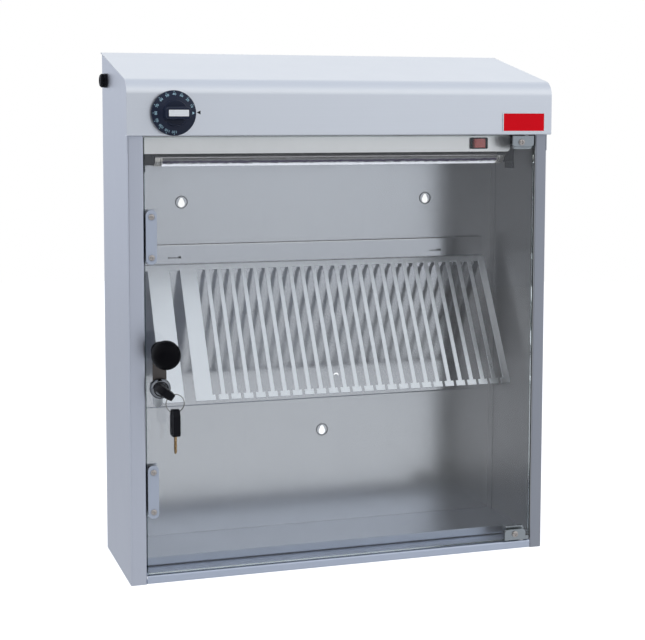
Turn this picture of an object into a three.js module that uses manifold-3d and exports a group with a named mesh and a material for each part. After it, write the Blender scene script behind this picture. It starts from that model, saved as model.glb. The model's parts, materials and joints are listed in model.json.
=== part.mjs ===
// Wall cabinet that disinfects kitchen tools with an ultraviolet lamp: a folded steel body
// with a sloping hood, a pivoted glass door, a slotted hanging rack and a mechanical timer.
// Millimetres, +Z up, front towards -Y. The origin lies on the back face, on the centre
// line, at the height of the two hanging holes.

import * as THREE from "three";
import { mergeVertices } from "three/addons/utils/BufferGeometryUtils.js";
import Module from "manifold-3d";

const wasm = await Module();
wasm.setup();

// Sheet, gaps and facets
const sheet = 1.2;
const roofClearanceShare = 1.1;
const seatGap = 0.3;
const cutOver = 1;
const bendRadius = 2.2;
const bendSteps = 4;
const roundSides = 32;
const smallSides = 16;

// Cabinet body
const cabinetWidth = 510;
const bodyDepth = 158;
const backHeight = 604;
const shoulderDrop = 36.5;
const shoulderRadius = 18;
const shoulderSteps = 8;
const leftStile = 18.5;
const rightStile = 15.2;
const stileLip = 8;
const floorHeight = 10;
const baseReturn = 15;
const backFlange = 14;
const lipHeight = 10.5;
const lipFoot = 10;
const lipSetback = 35;
const lipRightGap = 36.2;

// Hood
const hoodReach = 9;
const hoodSideOver = 1.5;
const hoodHeight = 97;
const hoodReturn = 38;
const reachCorner = 2.5;

// Hanging holes and the two small openings in the back
const hangDrop = 85.5;
const hangSpacing = 320;
const hangHeadRadius = 4.3;
const hangNeckRadius = 2.3;
const hangNeckRise = 5;
const thirdHoleX = 21;
const thirdHoleDrop = 44.4;
const peepX = 37;
const peepRise = 28;
const peepRadius = 3.6;
const peepBack = 2;

// Control strip, switch and timer
const fasciaSetback = 28;
const fasciaHeight = 20.4;
const fasciaRightGap = 36;
const fasciaReturn = 12;
const fasciaCorner = 4;
const switchFromSide = 77.7;
const switchFrame = [23, 13.6];
const switchBezel = 2;
const switchBody = [19.4, 12.4];
const switchDepth = 14;
const switchWall = 1.6;
const rockerSize = [15.8, 10.6];
const rockerRise = 2.2;
const rockerDepth = 6;
const rockerPinRadius = 1.2;
const rockerLean = 9;
const rockerFrontShare = 0.92;
const rockerRootShare = 0.94;
const timerFromSide = 50;
const timerClear = 3.1;
const timerBody = 42;
const timerDepth = 27;
const timerInset = 0.5;
const shaftRadius = 3;
const shaftLength = 24;
const dialRadius = 25;
const dialRim = 4;
const dialBevel = 0.8;
const dialStandoff = 1;
const dialConeRadius = 15;
const dialCone = 9.6;
const dialHubRadius = 14.2;
const dialHub = 13.2;
const gripSize = [27, 13];
const gripRise = 30;
const insertSize = [22, 7];
const insertRise = 1.4;
const insertGrooves = 3;
const insertGroove = 0.4;
const insertGrooveDepth = 0.5;
const insertMargin = 1.4;
const badgeSize = [54.6, 22.6];
const badgeFromSide = 35.2;
const badgeRise = 14.9;
const badgeThick = 0.8;

// Lamp, its holders and the parts inside the hood
const lampSetback = 62;
const lampDrop = 23;
const lampRadius = 13;
const lampWall = 0.8;
const lampLeftGap = 40.3;
const lampRightGap = 32.3;
const capLength = 10;
const pinRadius = 1.15;
const pinLength = 7;
const pinSpacing = 12.7;
const holderThick = 10.5;
const holderWidth = 24;
const holderHeight = 34;
const holderPlate = 1.5;
const holderPlateHeight = 42;
const holderRecess = 8.6;
const pinSlot = 3.4;
const reflectorThick = 0.8;
const reflectorTop = 24;
const reflectorMouth = 32;
const reflectorDrop = 26;
const reflectorBend = 3;
const ballastSize = [150, 42, 28];
const ballastFoot = 3;
const ballastEar = 12;
const ballastGap = 16;
const ballastSetback = 108;
const starterRadius = 10.75;
const starterHeight = 36;
const starterFromSide = 115;
const starterSetback = 104;
const starterBase = [34, 26, 12];
const terminalSize = [60, 20, 15];
const terminalFromSide = 65;
const terminalSetback = 100;
const terminalPoles = 5;
const terminalBore = 2.6;
const glandDrop = 34;
const glandBack = 31;
const glandRadius = 8.4;
const glandThread = 5.8;
const glandOut = 8;
const glandFlange = 3;
const glandIn = 9;
const glandBore = 3.6;
const glandNut = 4;

// Glass door, its pivots and its clamps
const doorRecess = 1.5;
const glassThick = 5;
const doorLeftGap = 1;
const doorRightGap = 0.9;
const doorTopGap = 1.4;
const doorBottomGap = 1.4;
const pivotFromStile = 10.8;
const pivotRadius = 1.6;
const pivotLength = 9.5;
const bushWall = 0.6;
const bushFlange = 4;
const bushFlangeThick = 0.7;
const clampWidth = 28;
const clampFromPivot = 8.5;
const clampFrontHeight = 13;
const clampCorner = 4.2;
const clampRearHeight = 16;
const clampPlate = 3;
const clampShift = 4;
const clampBoss = 4.6;
const clampInset = 4;
const clampScrewX = 8;
const clampScrewHeight = 7.6;
const clampScrewRadius = 2.4;
const clampScrewHead = 3.9;
const clampScrewRise = 1.9;

// Magnet plates, magnets and the brackets they close against
const plateWidth = 12.5;
const plateHeight = 61;
const plateThick = 1.7;
const plateInset = 0.8;
const plateHeightShares = [0.1914, 0.7752];
const plateScrewSpacing = 45.5;
const plateScrewRadius = 1.5;
const plateScrewHead = 3.4;
const plateScrewRise = 2;
const magnetSize = [8, 54];
const magnetThick = 6;
const bracketLeg = 18;

// Handle knob, cam lock and keys
const handleFromSide = 34.5;
const handleHeightShare = 0.5182;
const handleReach = 50;
const handleFoot = 10.5;
const handleHead = 16.2;
const handleBore = 2.2;
const handleBoreDepth = 12;
const handleScrewHead = 4.5;
const escutcheonWidth = 15.8;
const escutcheonThick = 1.2;
const escutcheonOver = 6;
const escutcheonUnder = 10.5;
const lockDrop = 42.6;
const lockFlangeRadius = 11.8;
const lockFlange = 8;
const lockDishRadius = 8.2;
const lockDish = 1.6;
const lockBarrelRadius = 6.7;
const lockBoreRadius = 5.1;
const lockPlugRadius = 4.7;
const lockNutRadius = 10.5;
const lockNutThick = 3;
const lockRear = 4.4;
const camLength = 24;
const camWidth = 11;
const camThick = 2;
const camStub = 3;
const camStubLength = 3.4;
const keyTilt = 37;
const keyBlade = [7.4, 2];
const keyBladeDepth = 14;
const keyNeck = 2;
const keyHead = [22, 30];
const keyHeadThick = 8;
const keyHeadCorner = 8.5;
const keyEyeOut = 24;
const keyEyeSide = 5.5;
const keyEyeRadius = 2.3;
const ringRadius = 10.3;
const ringWire = 0.75;
const ringTilt = 33;
const ringSteps = 40;
const ringWireSides = 8;
const spareHead = [18, 30];
const spareEyeDrop = 4.2;
const spareBladeLength = 20;

// Hanging rack
const rackSideGap = 18.5;
const rackGap = 8;
const rackDrop = 134;
const rackHeight = 201;
const combDrop = 24;
const combAngle = 60;
const combLength = 175;
const combRail = 7;
const combHem = 13;
const combBend = 2.2;
const barFirstGap = 103.9;
const barLastGap = 6.2;
const barGoal = 15.1;
const barWidth = 5;
const headWidth = 11.7;
const headLength = 7;
const endBarWidth = 10;
const endSlotWidth = 20.5;
const tongueWidth = 26.4;
const wideSlotWidth = 13.2;
const platenWidth = 20.7;
const cleatFromEdge = 65.5;
const cleatWidth = 12;
const cleatFromTop = 22;
const cleatLip = 5;
const cleatDrop = 10;
const tabRise = 7;
const windowWidth = 16;
const windowHeight = 2.6;

// Places that follow from the sizes
const halfWidth = cabinetWidth / 2;
const innerHalf = halfWidth - sheet - seatGap;
const hoodBottom = backHeight - hoodHeight;
const shoulderHeight = backHeight - shoulderDrop;
const glandHeight = backHeight - glandDrop;
const hangHeight = hoodBottom - hangDrop;
const hoodFace = -bodyDepth - hoodReach;
const ceilingTop = hoodBottom + sheet;
const switchX = halfWidth - switchFromSide;
const timerX = -halfWidth + timerFromSide;
const timerHeight = ceilingTop + timerClear + timerBody / 2;
const badgeX = halfWidth - badgeFromSide;
const badgeHeight = hoodBottom + badgeRise;
const lampHeight = hoodBottom - lampDrop;
const reflectorLip = hoodBottom - reflectorDrop;
const lampLeft = -halfWidth + lampLeftGap;
const lampRight = halfWidth - lampRightGap;
const starterX = halfWidth - starterFromSide;
const ballastX = starterX - starterBase[0] / 2 - ballastGap - ballastEar - ballastSize[0] / 2;
const terminalX = -halfWidth + terminalFromSide;
const glassLeft = -halfWidth + leftStile + doorLeftGap;
const glassRight = halfWidth - rightStile - doorRightGap;
const glassTop = hoodBottom - doorTopGap;
const glassBottom = floorHeight + doorBottomGap;
const glassFront = doorRecess;
const glassRear = doorRecess + glassThick;
const pivotX = halfWidth - rightStile - pivotFromStile;
const pivotSetback = doorRecess + glassThick / 2;
const plateX = glassLeft + plateInset + plateWidth / 2;
const plateHeights = plateHeightShares.map((share) => THREE.MathUtils.lerp(glassBottom, glassTop, share));
const handleX = -halfWidth + handleFromSide;
const handleHeight = THREE.MathUtils.lerp(glassBottom, glassTop, handleHeightShare);
const lockHeight = handleHeight - lockDrop;
const escutcheonTop = handleHeight + escutcheonOver;
const escutcheonBottom = lockHeight - escutcheonUnder;
const rackHalf = halfWidth - rackSideGap;
const rackTop = hoodBottom - rackDrop;
const rackBottom = rackTop - rackHeight;
const rackFace = bodyDepth - sheet - rackGap - sheet;
const combTop = rackTop - combDrop;
const thirdHoleHeight = rackBottom - thirdHoleDrop;
const peepHeight = rackBottom + peepRise;
const cleatX = rackHalf - cleatFromEdge;
const cleatHeight = rackTop - cleatFromTop;
const endBarRight = -rackHalf + endBarWidth;
const tongueLeft = endBarRight + endSlotWidth;
const tongueRight = tongueLeft + tongueWidth;
const platenLeft = tongueRight + wideSlotWidth;
const platenRight = platenLeft + platenWidth;
const barFirst = -rackHalf + barFirstGap;
const barCount = Math.round((rackHalf - barLastGap - barFirst) / barGoal) + 1;
const barPitch = (rackHalf - barLastGap - barFirst) / (barCount - 1);

// Finishes
const steelFinish = { color: 0xb4bac3, roughness: 0.38, metalness: 0.85 };
const paleSteel = { color: 0xc9cdd2, roughness: 0.42, metalness: 0.8 };
const chromeFinish = { color: 0xd8dade, roughness: 0.12, metalness: 1 };
const blackPlastic = { color: 0x141416, roughness: 0.45, metalness: 0 };
const whitePlastic = { color: 0xe8e8e4, roughness: 0.5, metalness: 0 };
const redPlastic = { color: 0xc8342e, roughness: 0.35, metalness: 0 };
const brassFinish = { color: 0xb08a4a, roughness: 0.35, metalness: 1 };
const lilacPaint = { color: 0xa9adbf, roughness: 0.4, metalness: 0.5 };
const glassFinish = { color: 0xcfe3dd, roughness: 0.03, metalness: 0, transparent: true, opacity: 0.25 };
const bronzeFinish = { color: 0x6f675c, roughness: 0.4, metalness: 0.8 };
const magnetFinish = { color: 0x3a3a3c, roughness: 0.6, metalness: 0.2 };
const ballastFinish = { color: 0xd9dad6, roughness: 0.5, metalness: 0.2 };

// Turns a distance behind the front plane into a Y coordinate.
function setback(distance) {
  return distance - bodyDepth;
}

function solidOf(geometry) {
  const bare = geometry.index ? geometry.toNonIndexed() : geometry.clone();
  bare.deleteAttribute("normal");
  bare.deleteAttribute("uv");
  const welded = mergeVertices(bare);
  return new wasm.Manifold(
    new wasm.Mesh({
      numProp: 3,
      vertProperties: Float32Array.from(welded.attributes.position.array),
      triVerts: Uint32Array.from(welded.index.array),
    }),
  );
}

function geometryOf(solid) {
  const result = solid.getMesh();
  const geometry = new THREE.BufferGeometry();
  geometry.setAttribute("position", new THREE.BufferAttribute(Float32Array.from(result.vertProperties), 3));
  geometry.setIndex(new THREE.BufferAttribute(Uint32Array.from(result.triVerts), 1));
  geometry.computeVertexNormals();
  return geometry;
}

function join(first, ...others) {
  return others.reduce((whole, other) => whole.add(other), first);
}

function cut(first, ...tools) {
  return tools.reduce((whole, tool) => whole.subtract(tool), first);
}

// A block between two values on each axis.
function block([x0, x1], [y0, y1], [z0, z1]) {
  const geometry = new THREE.BoxGeometry(x1 - x0, y1 - y0, z1 - z0);
  geometry.translate((x0 + x1) / 2, (y0 + y1) / 2, (z0 + z1) / 2);
  return solidOf(geometry);
}

// A span of a given length centred on a value.
function around(centre, length) {
  return [centre - length / 2, centre + length / 2];
}

// A round bar along X, Y or Z from one value to another, through a point of the other two axes.
function rod(axis, [from, to], [first, second], radius, sides = roundSides) {
  const geometry = new THREE.CylinderGeometry(radius, radius, to - from, sides);
  const middle = (from + to) / 2;
  if (axis === "x") {
    geometry.rotateZ(-Math.PI / 2);
    geometry.translate(middle, first, second);
  } else if (axis === "y") {
    geometry.translate(first, middle, second);
  } else {
    geometry.rotateX(Math.PI / 2);
    geometry.translate(first, second, middle);
  }
  return solidOf(geometry);
}

// A profile of [distance from the axis, height] turned about an axis that points towards -Y.
function turnedForward(profile, x, y, z, sides = roundSides) {
  const geometry = new THREE.LatheGeometry(profile.map(([r, h]) => new THREE.Vector2(r, h)), sides);
  geometry.rotateX(Math.PI);
  geometry.translate(x, y, z);
  return solidOf(geometry);
}

// An outline in the Y-Z plane, drawn out along X.
function drawnAlongX(shape, [x0, x1]) {
  const geometry = new THREE.ExtrudeGeometry(shape, { depth: x1 - x0, bevelEnabled: false, curveSegments: bendSteps });
  geometry.applyMatrix4(new THREE.Matrix4().set(0, 0, 1, x0, 1, 0, 0, 0, 0, 1, 0, 0, 0, 0, 0, 1));
  return solidOf(geometry);
}

// An outline in the X-Z plane, drawn out along Y.
function drawnAlongY(shape, [y0, y1], segments = bendSteps) {
  const geometry = new THREE.ExtrudeGeometry(shape, { depth: y1 - y0, bevelEnabled: false, curveSegments: segments });
  geometry.applyMatrix4(new THREE.Matrix4().set(1, 0, 0, 0, 0, 0, -1, y1, 0, 1, 0, 0, 0, 0, 0, 1));
  return solidOf(geometry);
}

// An outline in the X-Y plane, drawn out along Z.
function drawnAlongZ(shape, [z0, z1], segments = bendSteps) {
  const geometry = new THREE.ExtrudeGeometry(shape, { depth: z1 - z0, bevelEnabled: false, curveSegments: segments });
  geometry.translate(0, 0, z0);
  return solidOf(geometry);
}

// The edge outline of a folded sheet. The path is one face of the sheet, each inner point
// with its own bend radius, and the thickness is laid on its left side.
function foldedShape(path, thickness) {
  const near = [];
  const far = [];
  const directions = path.slice(1).map((point, i) => {
    return new THREE.Vector2(point.at[0] - path[i].at[0], point.at[1] - path[i].at[1]).normalize();
  });
  const offsetBy = (point, direction) => [
    point[0] - direction.y * thickness,
    point[1] + direction.x * thickness,
  ];
  near.push(path[0].at);
  far.push(offsetBy(path[0].at, directions[0]));
  for (let i = 1; i < path.length - 1; i += 1) {
    const before = directions[i - 1];
    const after = directions[i];
    const turn = Math.sign(before.cross(after));
    const angle = Math.acos(before.dot(after));
    const radius = path[i].bend;
    const run = radius * Math.tan(angle / 2);
    const start = [path[i].at[0] - before.x * run, path[i].at[1] - before.y * run];
    const centre = [start[0] - before.y * radius * turn, start[1] + before.x * radius * turn];
    const steps = path[i].steps ?? bendSteps;
    for (let k = 0; k <= steps; k += 1) {
      const swing = (turn * angle * k) / steps;
      const spoke = new THREE.Vector2(start[0] - centre[0], start[1] - centre[1]).rotateAround(new THREE.Vector2(), swing);
      const farShare = (radius - turn * thickness) / radius;
      near.push([centre[0] + spoke.x, centre[1] + spoke.y]);
      far.push([centre[0] + spoke.x * farShare, centre[1] + spoke.y * farShare]);
    }
  }
  const last = path[path.length - 1].at;
  near.push(last);
  far.push(offsetBy(last, directions[directions.length - 1]));
  return new THREE.Shape([...near, ...far.reverse()].map(([u, v]) => new THREE.Vector2(u, v)));
}

// A rectangle with round corners, centred on a point.
function roundedRectangle(x, z, width, height, radius) {
  const shape = new THREE.Shape();
  const [left, right] = around(x, width);
  const [low, high] = around(z, height);
  shape.moveTo(left + radius, low);
  shape.lineTo(right - radius, low);
  shape.absarc(right - radius, low + radius, radius, -Math.PI / 2, 0, false);
  shape.lineTo(right, high - radius);
  shape.absarc(right - radius, high - radius, radius, 0, Math.PI / 2, false);
  shape.lineTo(left + radius, high);
  shape.absarc(left + radius, high - radius, radius, Math.PI / 2, Math.PI, false);
  shape.lineTo(left, low + radius);
  shape.absarc(left + radius, low + radius, radius, Math.PI, 1.5 * Math.PI, false);
  return shape;
}

const cabinet = new THREE.Group();

function place(name, solid, finish, parent = cabinet) {
  const mesh = new THREE.Mesh(geometryOf(solid), new THREE.MeshStandardMaterial(finish));
  mesh.name = name;
  parent.add(mesh);
  return mesh;
}

// The hood's outer face, from the end of its bottom return, round the front and up to the back.
function hoodPath() {
  return [
    { at: [setback(hoodReturn), hoodBottom] },
    { at: [hoodFace, hoodBottom], bend: bendRadius },
    { at: [hoodFace, shoulderHeight], bend: shoulderRadius, steps: shoulderSteps },
    { at: [0, backHeight] },
  ];
}

// The side panel's upper outline: the hood's outer face moved in by the sheet and a gap.
function sideCheek([x0, x1]) {
  const inward = sheet + seatGap;
  const roofSlope = Math.atan2(backHeight - shoulderHeight, bodyDepth + hoodReach);
  const roofDrop = inward / Math.cos(roofSlope);
  const front = hoodFace + inward;
  const shape = new THREE.Shape();
  const radius = shoulderRadius - inward;
  const arcAngle = Math.PI / 2 - roofSlope;
  const run = shoulderRadius * Math.tan(arcAngle / 2);
  const centreY = hoodFace + shoulderRadius;
  const centreZ = shoulderHeight - run;
  const bottom = hoodBottom + sheet + seatGap;
  shape.moveTo(0, bottom - fasciaHeight);
  shape.lineTo(0, backHeight - roofDrop);
  for (let k = 0; k <= shoulderSteps; k += 1) {
    const angle = Math.PI / 2 + roofSlope + (arcAngle * k) / shoulderSteps;
    shape.lineTo(centreY + radius * Math.cos(angle), centreZ + radius * Math.sin(angle));
  }
  shape.lineTo(front, bottom + reachCorner);
  shape.lineTo(front + reachCorner, bottom);
  shape.lineTo(setback(0), bottom);
  shape.lineTo(setback(0), bottom - fasciaHeight);
  return drawnAlongX(shape, [x0, x1]);
}

// A side panel: wall, front stile with its return lip, and the cheek under the hood.
function sidePanel(side, stileWidth) {
  const outer = side * halfWidth;
  const path = [
    { at: [outer, 0] },
    { at: [outer, setback(0)], bend: bendRadius },
    { at: [outer - side * stileWidth, setback(0)], bend: bendRadius },
    { at: [outer - side * stileWidth, setback(stileLip)] },
  ];
  // The sheet is laid on the left of the path, so the right-hand side is walked backwards.
  const shape = foldedShape(side < 0 ? path : path.slice().reverse(), sheet);
  const wall = drawnAlongZ(shape, [0, hoodBottom - seatGap]);
  const cheek = sideCheek(side < 0 ? [outer, outer + sheet] : [outer - sheet, outer]);
  return join(wall, cheek);
}

function pearShape(x, z) {
  const lean = Math.asin((hangHeadRadius - hangNeckRadius) / hangNeckRise);
  const shape = new THREE.Shape();
  shape.absarc(x, z, hangHeadRadius, Math.PI - lean, 2 * Math.PI + lean, false);
  shape.absarc(x, z + hangNeckRise, hangNeckRadius, lean, Math.PI - lean, false);
  return shape;
}

// Fixed half of the rack's hook: a small tray that stands off the back and turns up.
function cleat(x) {
  const wallY = -sheet;
  const lipY = wallY - rackGap + sheet + seatGap * 2;
  const width = around(x, cleatWidth);
  const foot = block(width, [wallY - sheet, wallY], [cleatHeight - cleatDrop, cleatHeight]);
  const shelf = block(width, [lipY, wallY], [cleatHeight - sheet, cleatHeight]);
  const lip = block(width, [lipY, lipY + sheet], [cleatHeight - sheet, cleatHeight + cleatLip]);
  return join(foot, shelf, lip);
}

function backPanel() {
  const roofDrop = sheet + seatGap;
  const top = backHeight - roofDrop * roofClearanceShare;
  const flangeTop = hoodBottom - seatGap;
  const flangeLow = floorHeight + seatGap;
  const through = [-rackGap, cutOver];
  const plate = block([-innerHalf, innerHalf], [-sheet, 0], [0, top]);
  const slope = (backHeight - shoulderHeight) / (bodyDepth + hoodReach);
  const trim = sheet * slope;
  const flanges = [-1, 1].map((side) => {
    const face = side * innerHalf;
    const span = side < 0 ? [face, face + sheet] : [face - sheet, face];
    return block(span, [-backFlange, 0], [flangeLow, flangeTop - trim]);
  });
  const holes = [
    ...[-1, 1].map((side) => drawnAlongY(pearShape((side * hangSpacing) / 2, hangHeight), through, smallSides)),
    drawnAlongY(pearShape(thirdHoleX, thirdHoleHeight), through, smallSides),
    rod("y", through, [peepX + peepBack, peepHeight - peepBack], peepRadius + peepBack / 2, smallSides),
  ];
  return cut(join(plate, ...flanges, cleat(-cleatX), cleat(cleatX)), ...holes);
}

// Floor pan: a folded front rail between the stiles, and wings that reach the side panels.
function bottomPanel() {
  const railSpan = [-halfWidth + leftStile + seatGap, halfWidth - rightStile - seatGap];
  const rear = setback(bodyDepth - sheet - seatGap);
  const railShape = foldedShape(
    [
      { at: [setback(baseReturn), 0] },
      { at: [setback(0), 0], bend: bendRadius },
      { at: [setback(0), floorHeight], bend: bendRadius },
      { at: [rear, floorHeight], bend: bendRadius },
      { at: [rear, 0], bend: bendRadius },
      { at: [rear - baseReturn, 0] },
    ].reverse(),
    sheet,
  );
  const wingFront = setback(stileLip + seatGap);
  const wings = block([-innerHalf, innerHalf], [wingFront, rear], [floorHeight - sheet, floorHeight]);
  const pivotHole = rod(
    "z",
    [floorHeight - sheet - cutOver, floorHeight + cutOver],
    [pivotX, setback(pivotSetback)],
    pivotRadius + seatGap + bushWall + seatGap,
    smallSides,
  );
  return cut(join(drawnAlongX(railShape, railSpan), wings), pivotHole);
}

function floorLip() {
  const base = floorHeight + seatGap;
  const shape = foldedShape(
    [
      { at: [setback(lipSetback), base + lipHeight] },
      { at: [setback(lipSetback), base], bend: bendRadius },
      { at: [setback(lipSetback + lipFoot), base] },
    ],
    sheet,
  );
  return drawnAlongX(shape, [-innerHalf + sheet, halfWidth - lipRightGap]);
}

function hoodCover() {
  const overHalf = halfWidth + hoodSideOver;
  const shell = drawnAlongX(foldedShape(hoodPath().reverse(), sheet), [-overHalf, overHalf]);
  const notches = [-1, 1].map((side) => {
    const near = side * innerHalf;
    const far = side * (overHalf + cutOver);
    const span = side < 0 ? [far, near] : [near, far];
    const height = [hoodBottom - cutOver, hoodBottom + sheet + seatGap];
    return block(span, [setback(0) - seatGap, setback(hoodReturn + cutOver)], height);
  });
  const bushHole = rod(
    "z",
    [hoodBottom - cutOver, hoodBottom + sheet + cutOver],
    [pivotX, setback(pivotSetback)],
    pivotRadius + seatGap + bushWall + seatGap,
    smallSides,
  );
  const shaftHole = rod(
    "y",
    [hoodFace - cutOver, hoodFace + sheet + cutOver],
    [timerX, timerHeight],
    shaftRadius + cutOver,
    smallSides,
  );
  return cut(shell, ...notches, bushHole, shaftHole);
}

function ceilingPanel() {
  const span = [setback(hoodReturn + seatGap), -sheet - seatGap];
  return block([-innerHalf, innerHalf], span, [hoodBottom, ceilingTop]);
}

const fasciaTop = hoodBottom - seatGap;
const fasciaBottom = fasciaTop - fasciaHeight;
const switchHeight = fasciaBottom + fasciaHeight / 2;

function controlFascia() {
  const right = halfWidth - fasciaRightGap;
  const shape = foldedShape(
    [
      { at: [setback(fasciaSetback), fasciaBottom] },
      { at: [setback(fasciaSetback), fasciaTop], bend: bendRadius },
      { at: [setback(fasciaSetback + fasciaReturn), fasciaTop] },
    ].reverse(),
    sheet,
  );
  const strip = drawnAlongX(shape, [-innerHalf, right]);
  const through = [setback(fasciaSetback) - cutOver, setback(fasciaSetback) + sheet + cutOver];
  const slack = seatGap * 2;
  const switchHole = block(
    around(switchX, switchBody[0] + slack),
    through,
    around(switchHeight, switchBody[1] + slack),
  );
  const corner = cut(
    block([right - fasciaCorner, right + cutOver], through, [fasciaBottom - cutOver, fasciaBottom + fasciaCorner]),
    rod("y", [through[0] - cutOver, through[1] + cutOver], [right - fasciaCorner, fasciaBottom + fasciaCorner], fasciaCorner),
  );
  return cut(strip, switchHole, corner);
}

function addBody() {
  place("left_side_panel", cut(sidePanel(-1, leftStile), glandHole()), steelFinish);
  place("right_side_panel", sidePanel(1, rightStile), steelFinish);
  place("back_panel", backPanel(), paleSteel);
  place("bottom_panel", bottomPanel(), steelFinish);
  place("floor_lip", floorLip(), steelFinish);
  place("hood_cover", hoodCover(), steelFinish);
  place("ceiling_panel", ceilingPanel(), paleSteel);
  place("control_fascia", controlFascia(), steelFinish);
  place("badge_plate", badgePlate(), redPlastic);
}

function badgePlate() {
  const shape = roundedRectangle(badgeX, badgeHeight, badgeSize[0], badgeSize[1], badgeThick);
  return drawnAlongY(shape, [hoodFace - seatGap - badgeThick, hoodFace - seatGap]);
}

const glandAt = [-glandBack, glandHeight];

function glandHole() {
  const wall = [-halfWidth - cutOver, -halfWidth + sheet + cutOver];
  return rod("x", wall, glandAt, glandThread + seatGap, smallSides);
}

// Cable gland: a flange and a domed nut outside, a thread through the wall, and a lock nut inside.
function cableGland() {
  const face = -halfWidth - seatGap;
  const flange = rod("x", [face - glandFlange, face], glandAt, glandRadius);
  const nut = rod("x", [face - glandOut, face - glandFlange], glandAt, glandRadius - cutOver);
  const thread = rod("x", [face - glandFlange, face + glandIn], glandAt, glandThread, smallSides);
  const bore = rod("x", [face - glandOut - cutOver, face + glandIn + cutOver], glandAt, glandBore, smallSides);
  return cut(join(flange, nut, thread), bore);
}

function glandLockNut() {
  const inside = -halfWidth + sheet + seatGap;
  const hexSides = 6;
  const nut = rod("x", [inside, inside + glandNut], glandAt, glandRadius, hexSides);
  return cut(nut, rod("x", [inside - cutOver, inside + glandNut + cutOver], glandAt, glandThread + seatGap, smallSides));
}

// Mechanical timer behind the hood's face, its shaft and the dial in front.
function addTimer() {
  const back = hoodFace + sheet + timerInset;
  const body = block(around(timerX, timerBody), [back, back + timerDepth], around(timerHeight, timerBody));
  const shaftFront = hoodFace - dialStandoff - dialHub;
  const shaftSpan = [shaftFront, shaftFront + shaftLength];
  const at = [timerX, timerHeight];
  const bore = rod("y", [back - cutOver, shaftSpan[1] + seatGap], at, shaftRadius + seatGap, smallSides);
  place("timer_body", cut(body, bore), whitePlastic);
  place("timer_shaft", rod("y", shaftSpan, at, shaftRadius, smallSides), chromeFinish);
  place("timer_dial", timerDial(shaftFront), blackPlastic);
  place("timer_grip_insert", gripInsert(), whitePlastic);
}

function timerDial(shaftFront) {
  const face = hoodFace - dialStandoff;
  const disc = turnedForward(
    [
      [0, 0],
      [dialRadius, 0],
      [dialRadius, dialRim],
      [dialRadius - dialBevel, dialRim + dialBevel],
      [dialConeRadius, dialCone],
      [dialHubRadius, dialCone + dialBevel],
      [dialHubRadius, dialHub - dialBevel],
      [dialHubRadius - dialBevel, dialHub],
      [0, dialHub],
    ],
    timerX,
    face,
    timerHeight,
  );
  const grip = drawnAlongY(
    roundedRectangle(timerX, timerHeight, gripSize[0], gripSize[1], gripSize[1] / 4),
    [face - gripRise, face - dialRim],
  );
  const pocket = block(
    around(timerX, insertSize[0] + seatGap * 2),
    [face - gripRise - cutOver, face - gripRise + insertRise],
    around(timerHeight, insertSize[1] + seatGap * 2),
  );
  const shaftBore = rod(
    "y",
    [shaftFront - seatGap, face + cutOver],
    [timerX, timerHeight],
    shaftRadius + seatGap,
    smallSides,
  );
  return cut(join(disc, grip), pocket, shaftBore);
}

// Pale insert in the front of the grip bar, with fine grooves along it.
function gripInsert() {
  const front = hoodFace - dialStandoff - gripRise - insertRise / 2;
  const floor = front + insertRise / 2 + insertRise - seatGap;
  const pitch = insertSize[1] / (insertGrooves + 1);
  const slab = block(around(timerX, insertSize[0]), [front, floor], around(timerHeight, insertSize[1]));
  const grooves = Array.from({ length: insertGrooves }, (_, i) => {
    const z = timerHeight - insertSize[1] / 2 + pitch * (i + 1);
    const length = insertSize[0] - insertMargin * 2;
    return block(around(timerX, length), [front - cutOver, front + insertGrooveDepth], around(z, insertGroove));
  });
  return cut(slab, ...grooves);
}

// Rocker switch in the control strip: a framed housing and the red rocker on its pins.
function addSwitch() {
  const face = setback(fasciaSetback) - seatGap;
  const frame = drawnAlongY(
    roundedRectangle(switchX, switchHeight, switchFrame[0], switchFrame[1], switchWall / 2),
    [face - switchBezel, face],
  );
  const body = block(
    around(switchX, switchBody[0]),
    [face - switchBezel, face + switchDepth],
    around(switchHeight, switchBody[1]),
  );
  const wellBack = face - switchBezel + rockerDepth + rockerDepth;
  const well = block(
    around(switchX, rockerSize[0] + seatGap * 4),
    [face - switchBezel - cutOver, wellBack],
    around(switchHeight, rockerSize[1] + seatGap * 2),
  );
  const pinY = face + rockerDepth / 2;
  const pinSpan = around(switchHeight, rockerSize[1] + switchWall);
  const pinHole = rod(
    "z",
    [pinSpan[0] - seatGap, pinSpan[1] + seatGap],
    [switchX, pinY],
    rockerPinRadius + seatGap,
    smallSides,
  );
  place("rocker_housing", cut(join(frame, body), well, pinHole), blackPlastic);
  place("rocker_button", rockerButton(pinY, pinSpan), redPlastic);
}

// The rocker rests tipped towards its left end, and its front is a shallow V about the pins.
function rockerButton(pinY, pinSpan) {
  const [left, right] = around(0, rockerSize[0]);
  const frontReach = -rockerDepth / 2 - switchBezel - rockerRise / 2;
  const lean = THREE.MathUtils.degToRad(rockerLean);
  const valley = Math.tan(lean) * (rockerSize[0] / 2);
  const shape = new THREE.Shape();
  shape.moveTo(left * rockerFrontShare, frontReach);
  shape.lineTo(0, frontReach + valley);
  shape.lineTo(right * rockerFrontShare, frontReach);
  shape.lineTo(right * rockerRootShare, 0);
  shape.lineTo(0, rockerDepth / 2);
  shape.lineTo(left * rockerRootShare, 0);
  const body = drawnAlongZ(shape, around(switchHeight, rockerSize[1]));
  const pins = rod("z", pinSpan, [0, 0], rockerPinRadius, smallSides);
  return join(body, pins).rotate([0, 0, rockerLean]).translate([switchX, pinY, 0]);
}

const lampAt = [setback(lampSetback), lampHeight];

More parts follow.
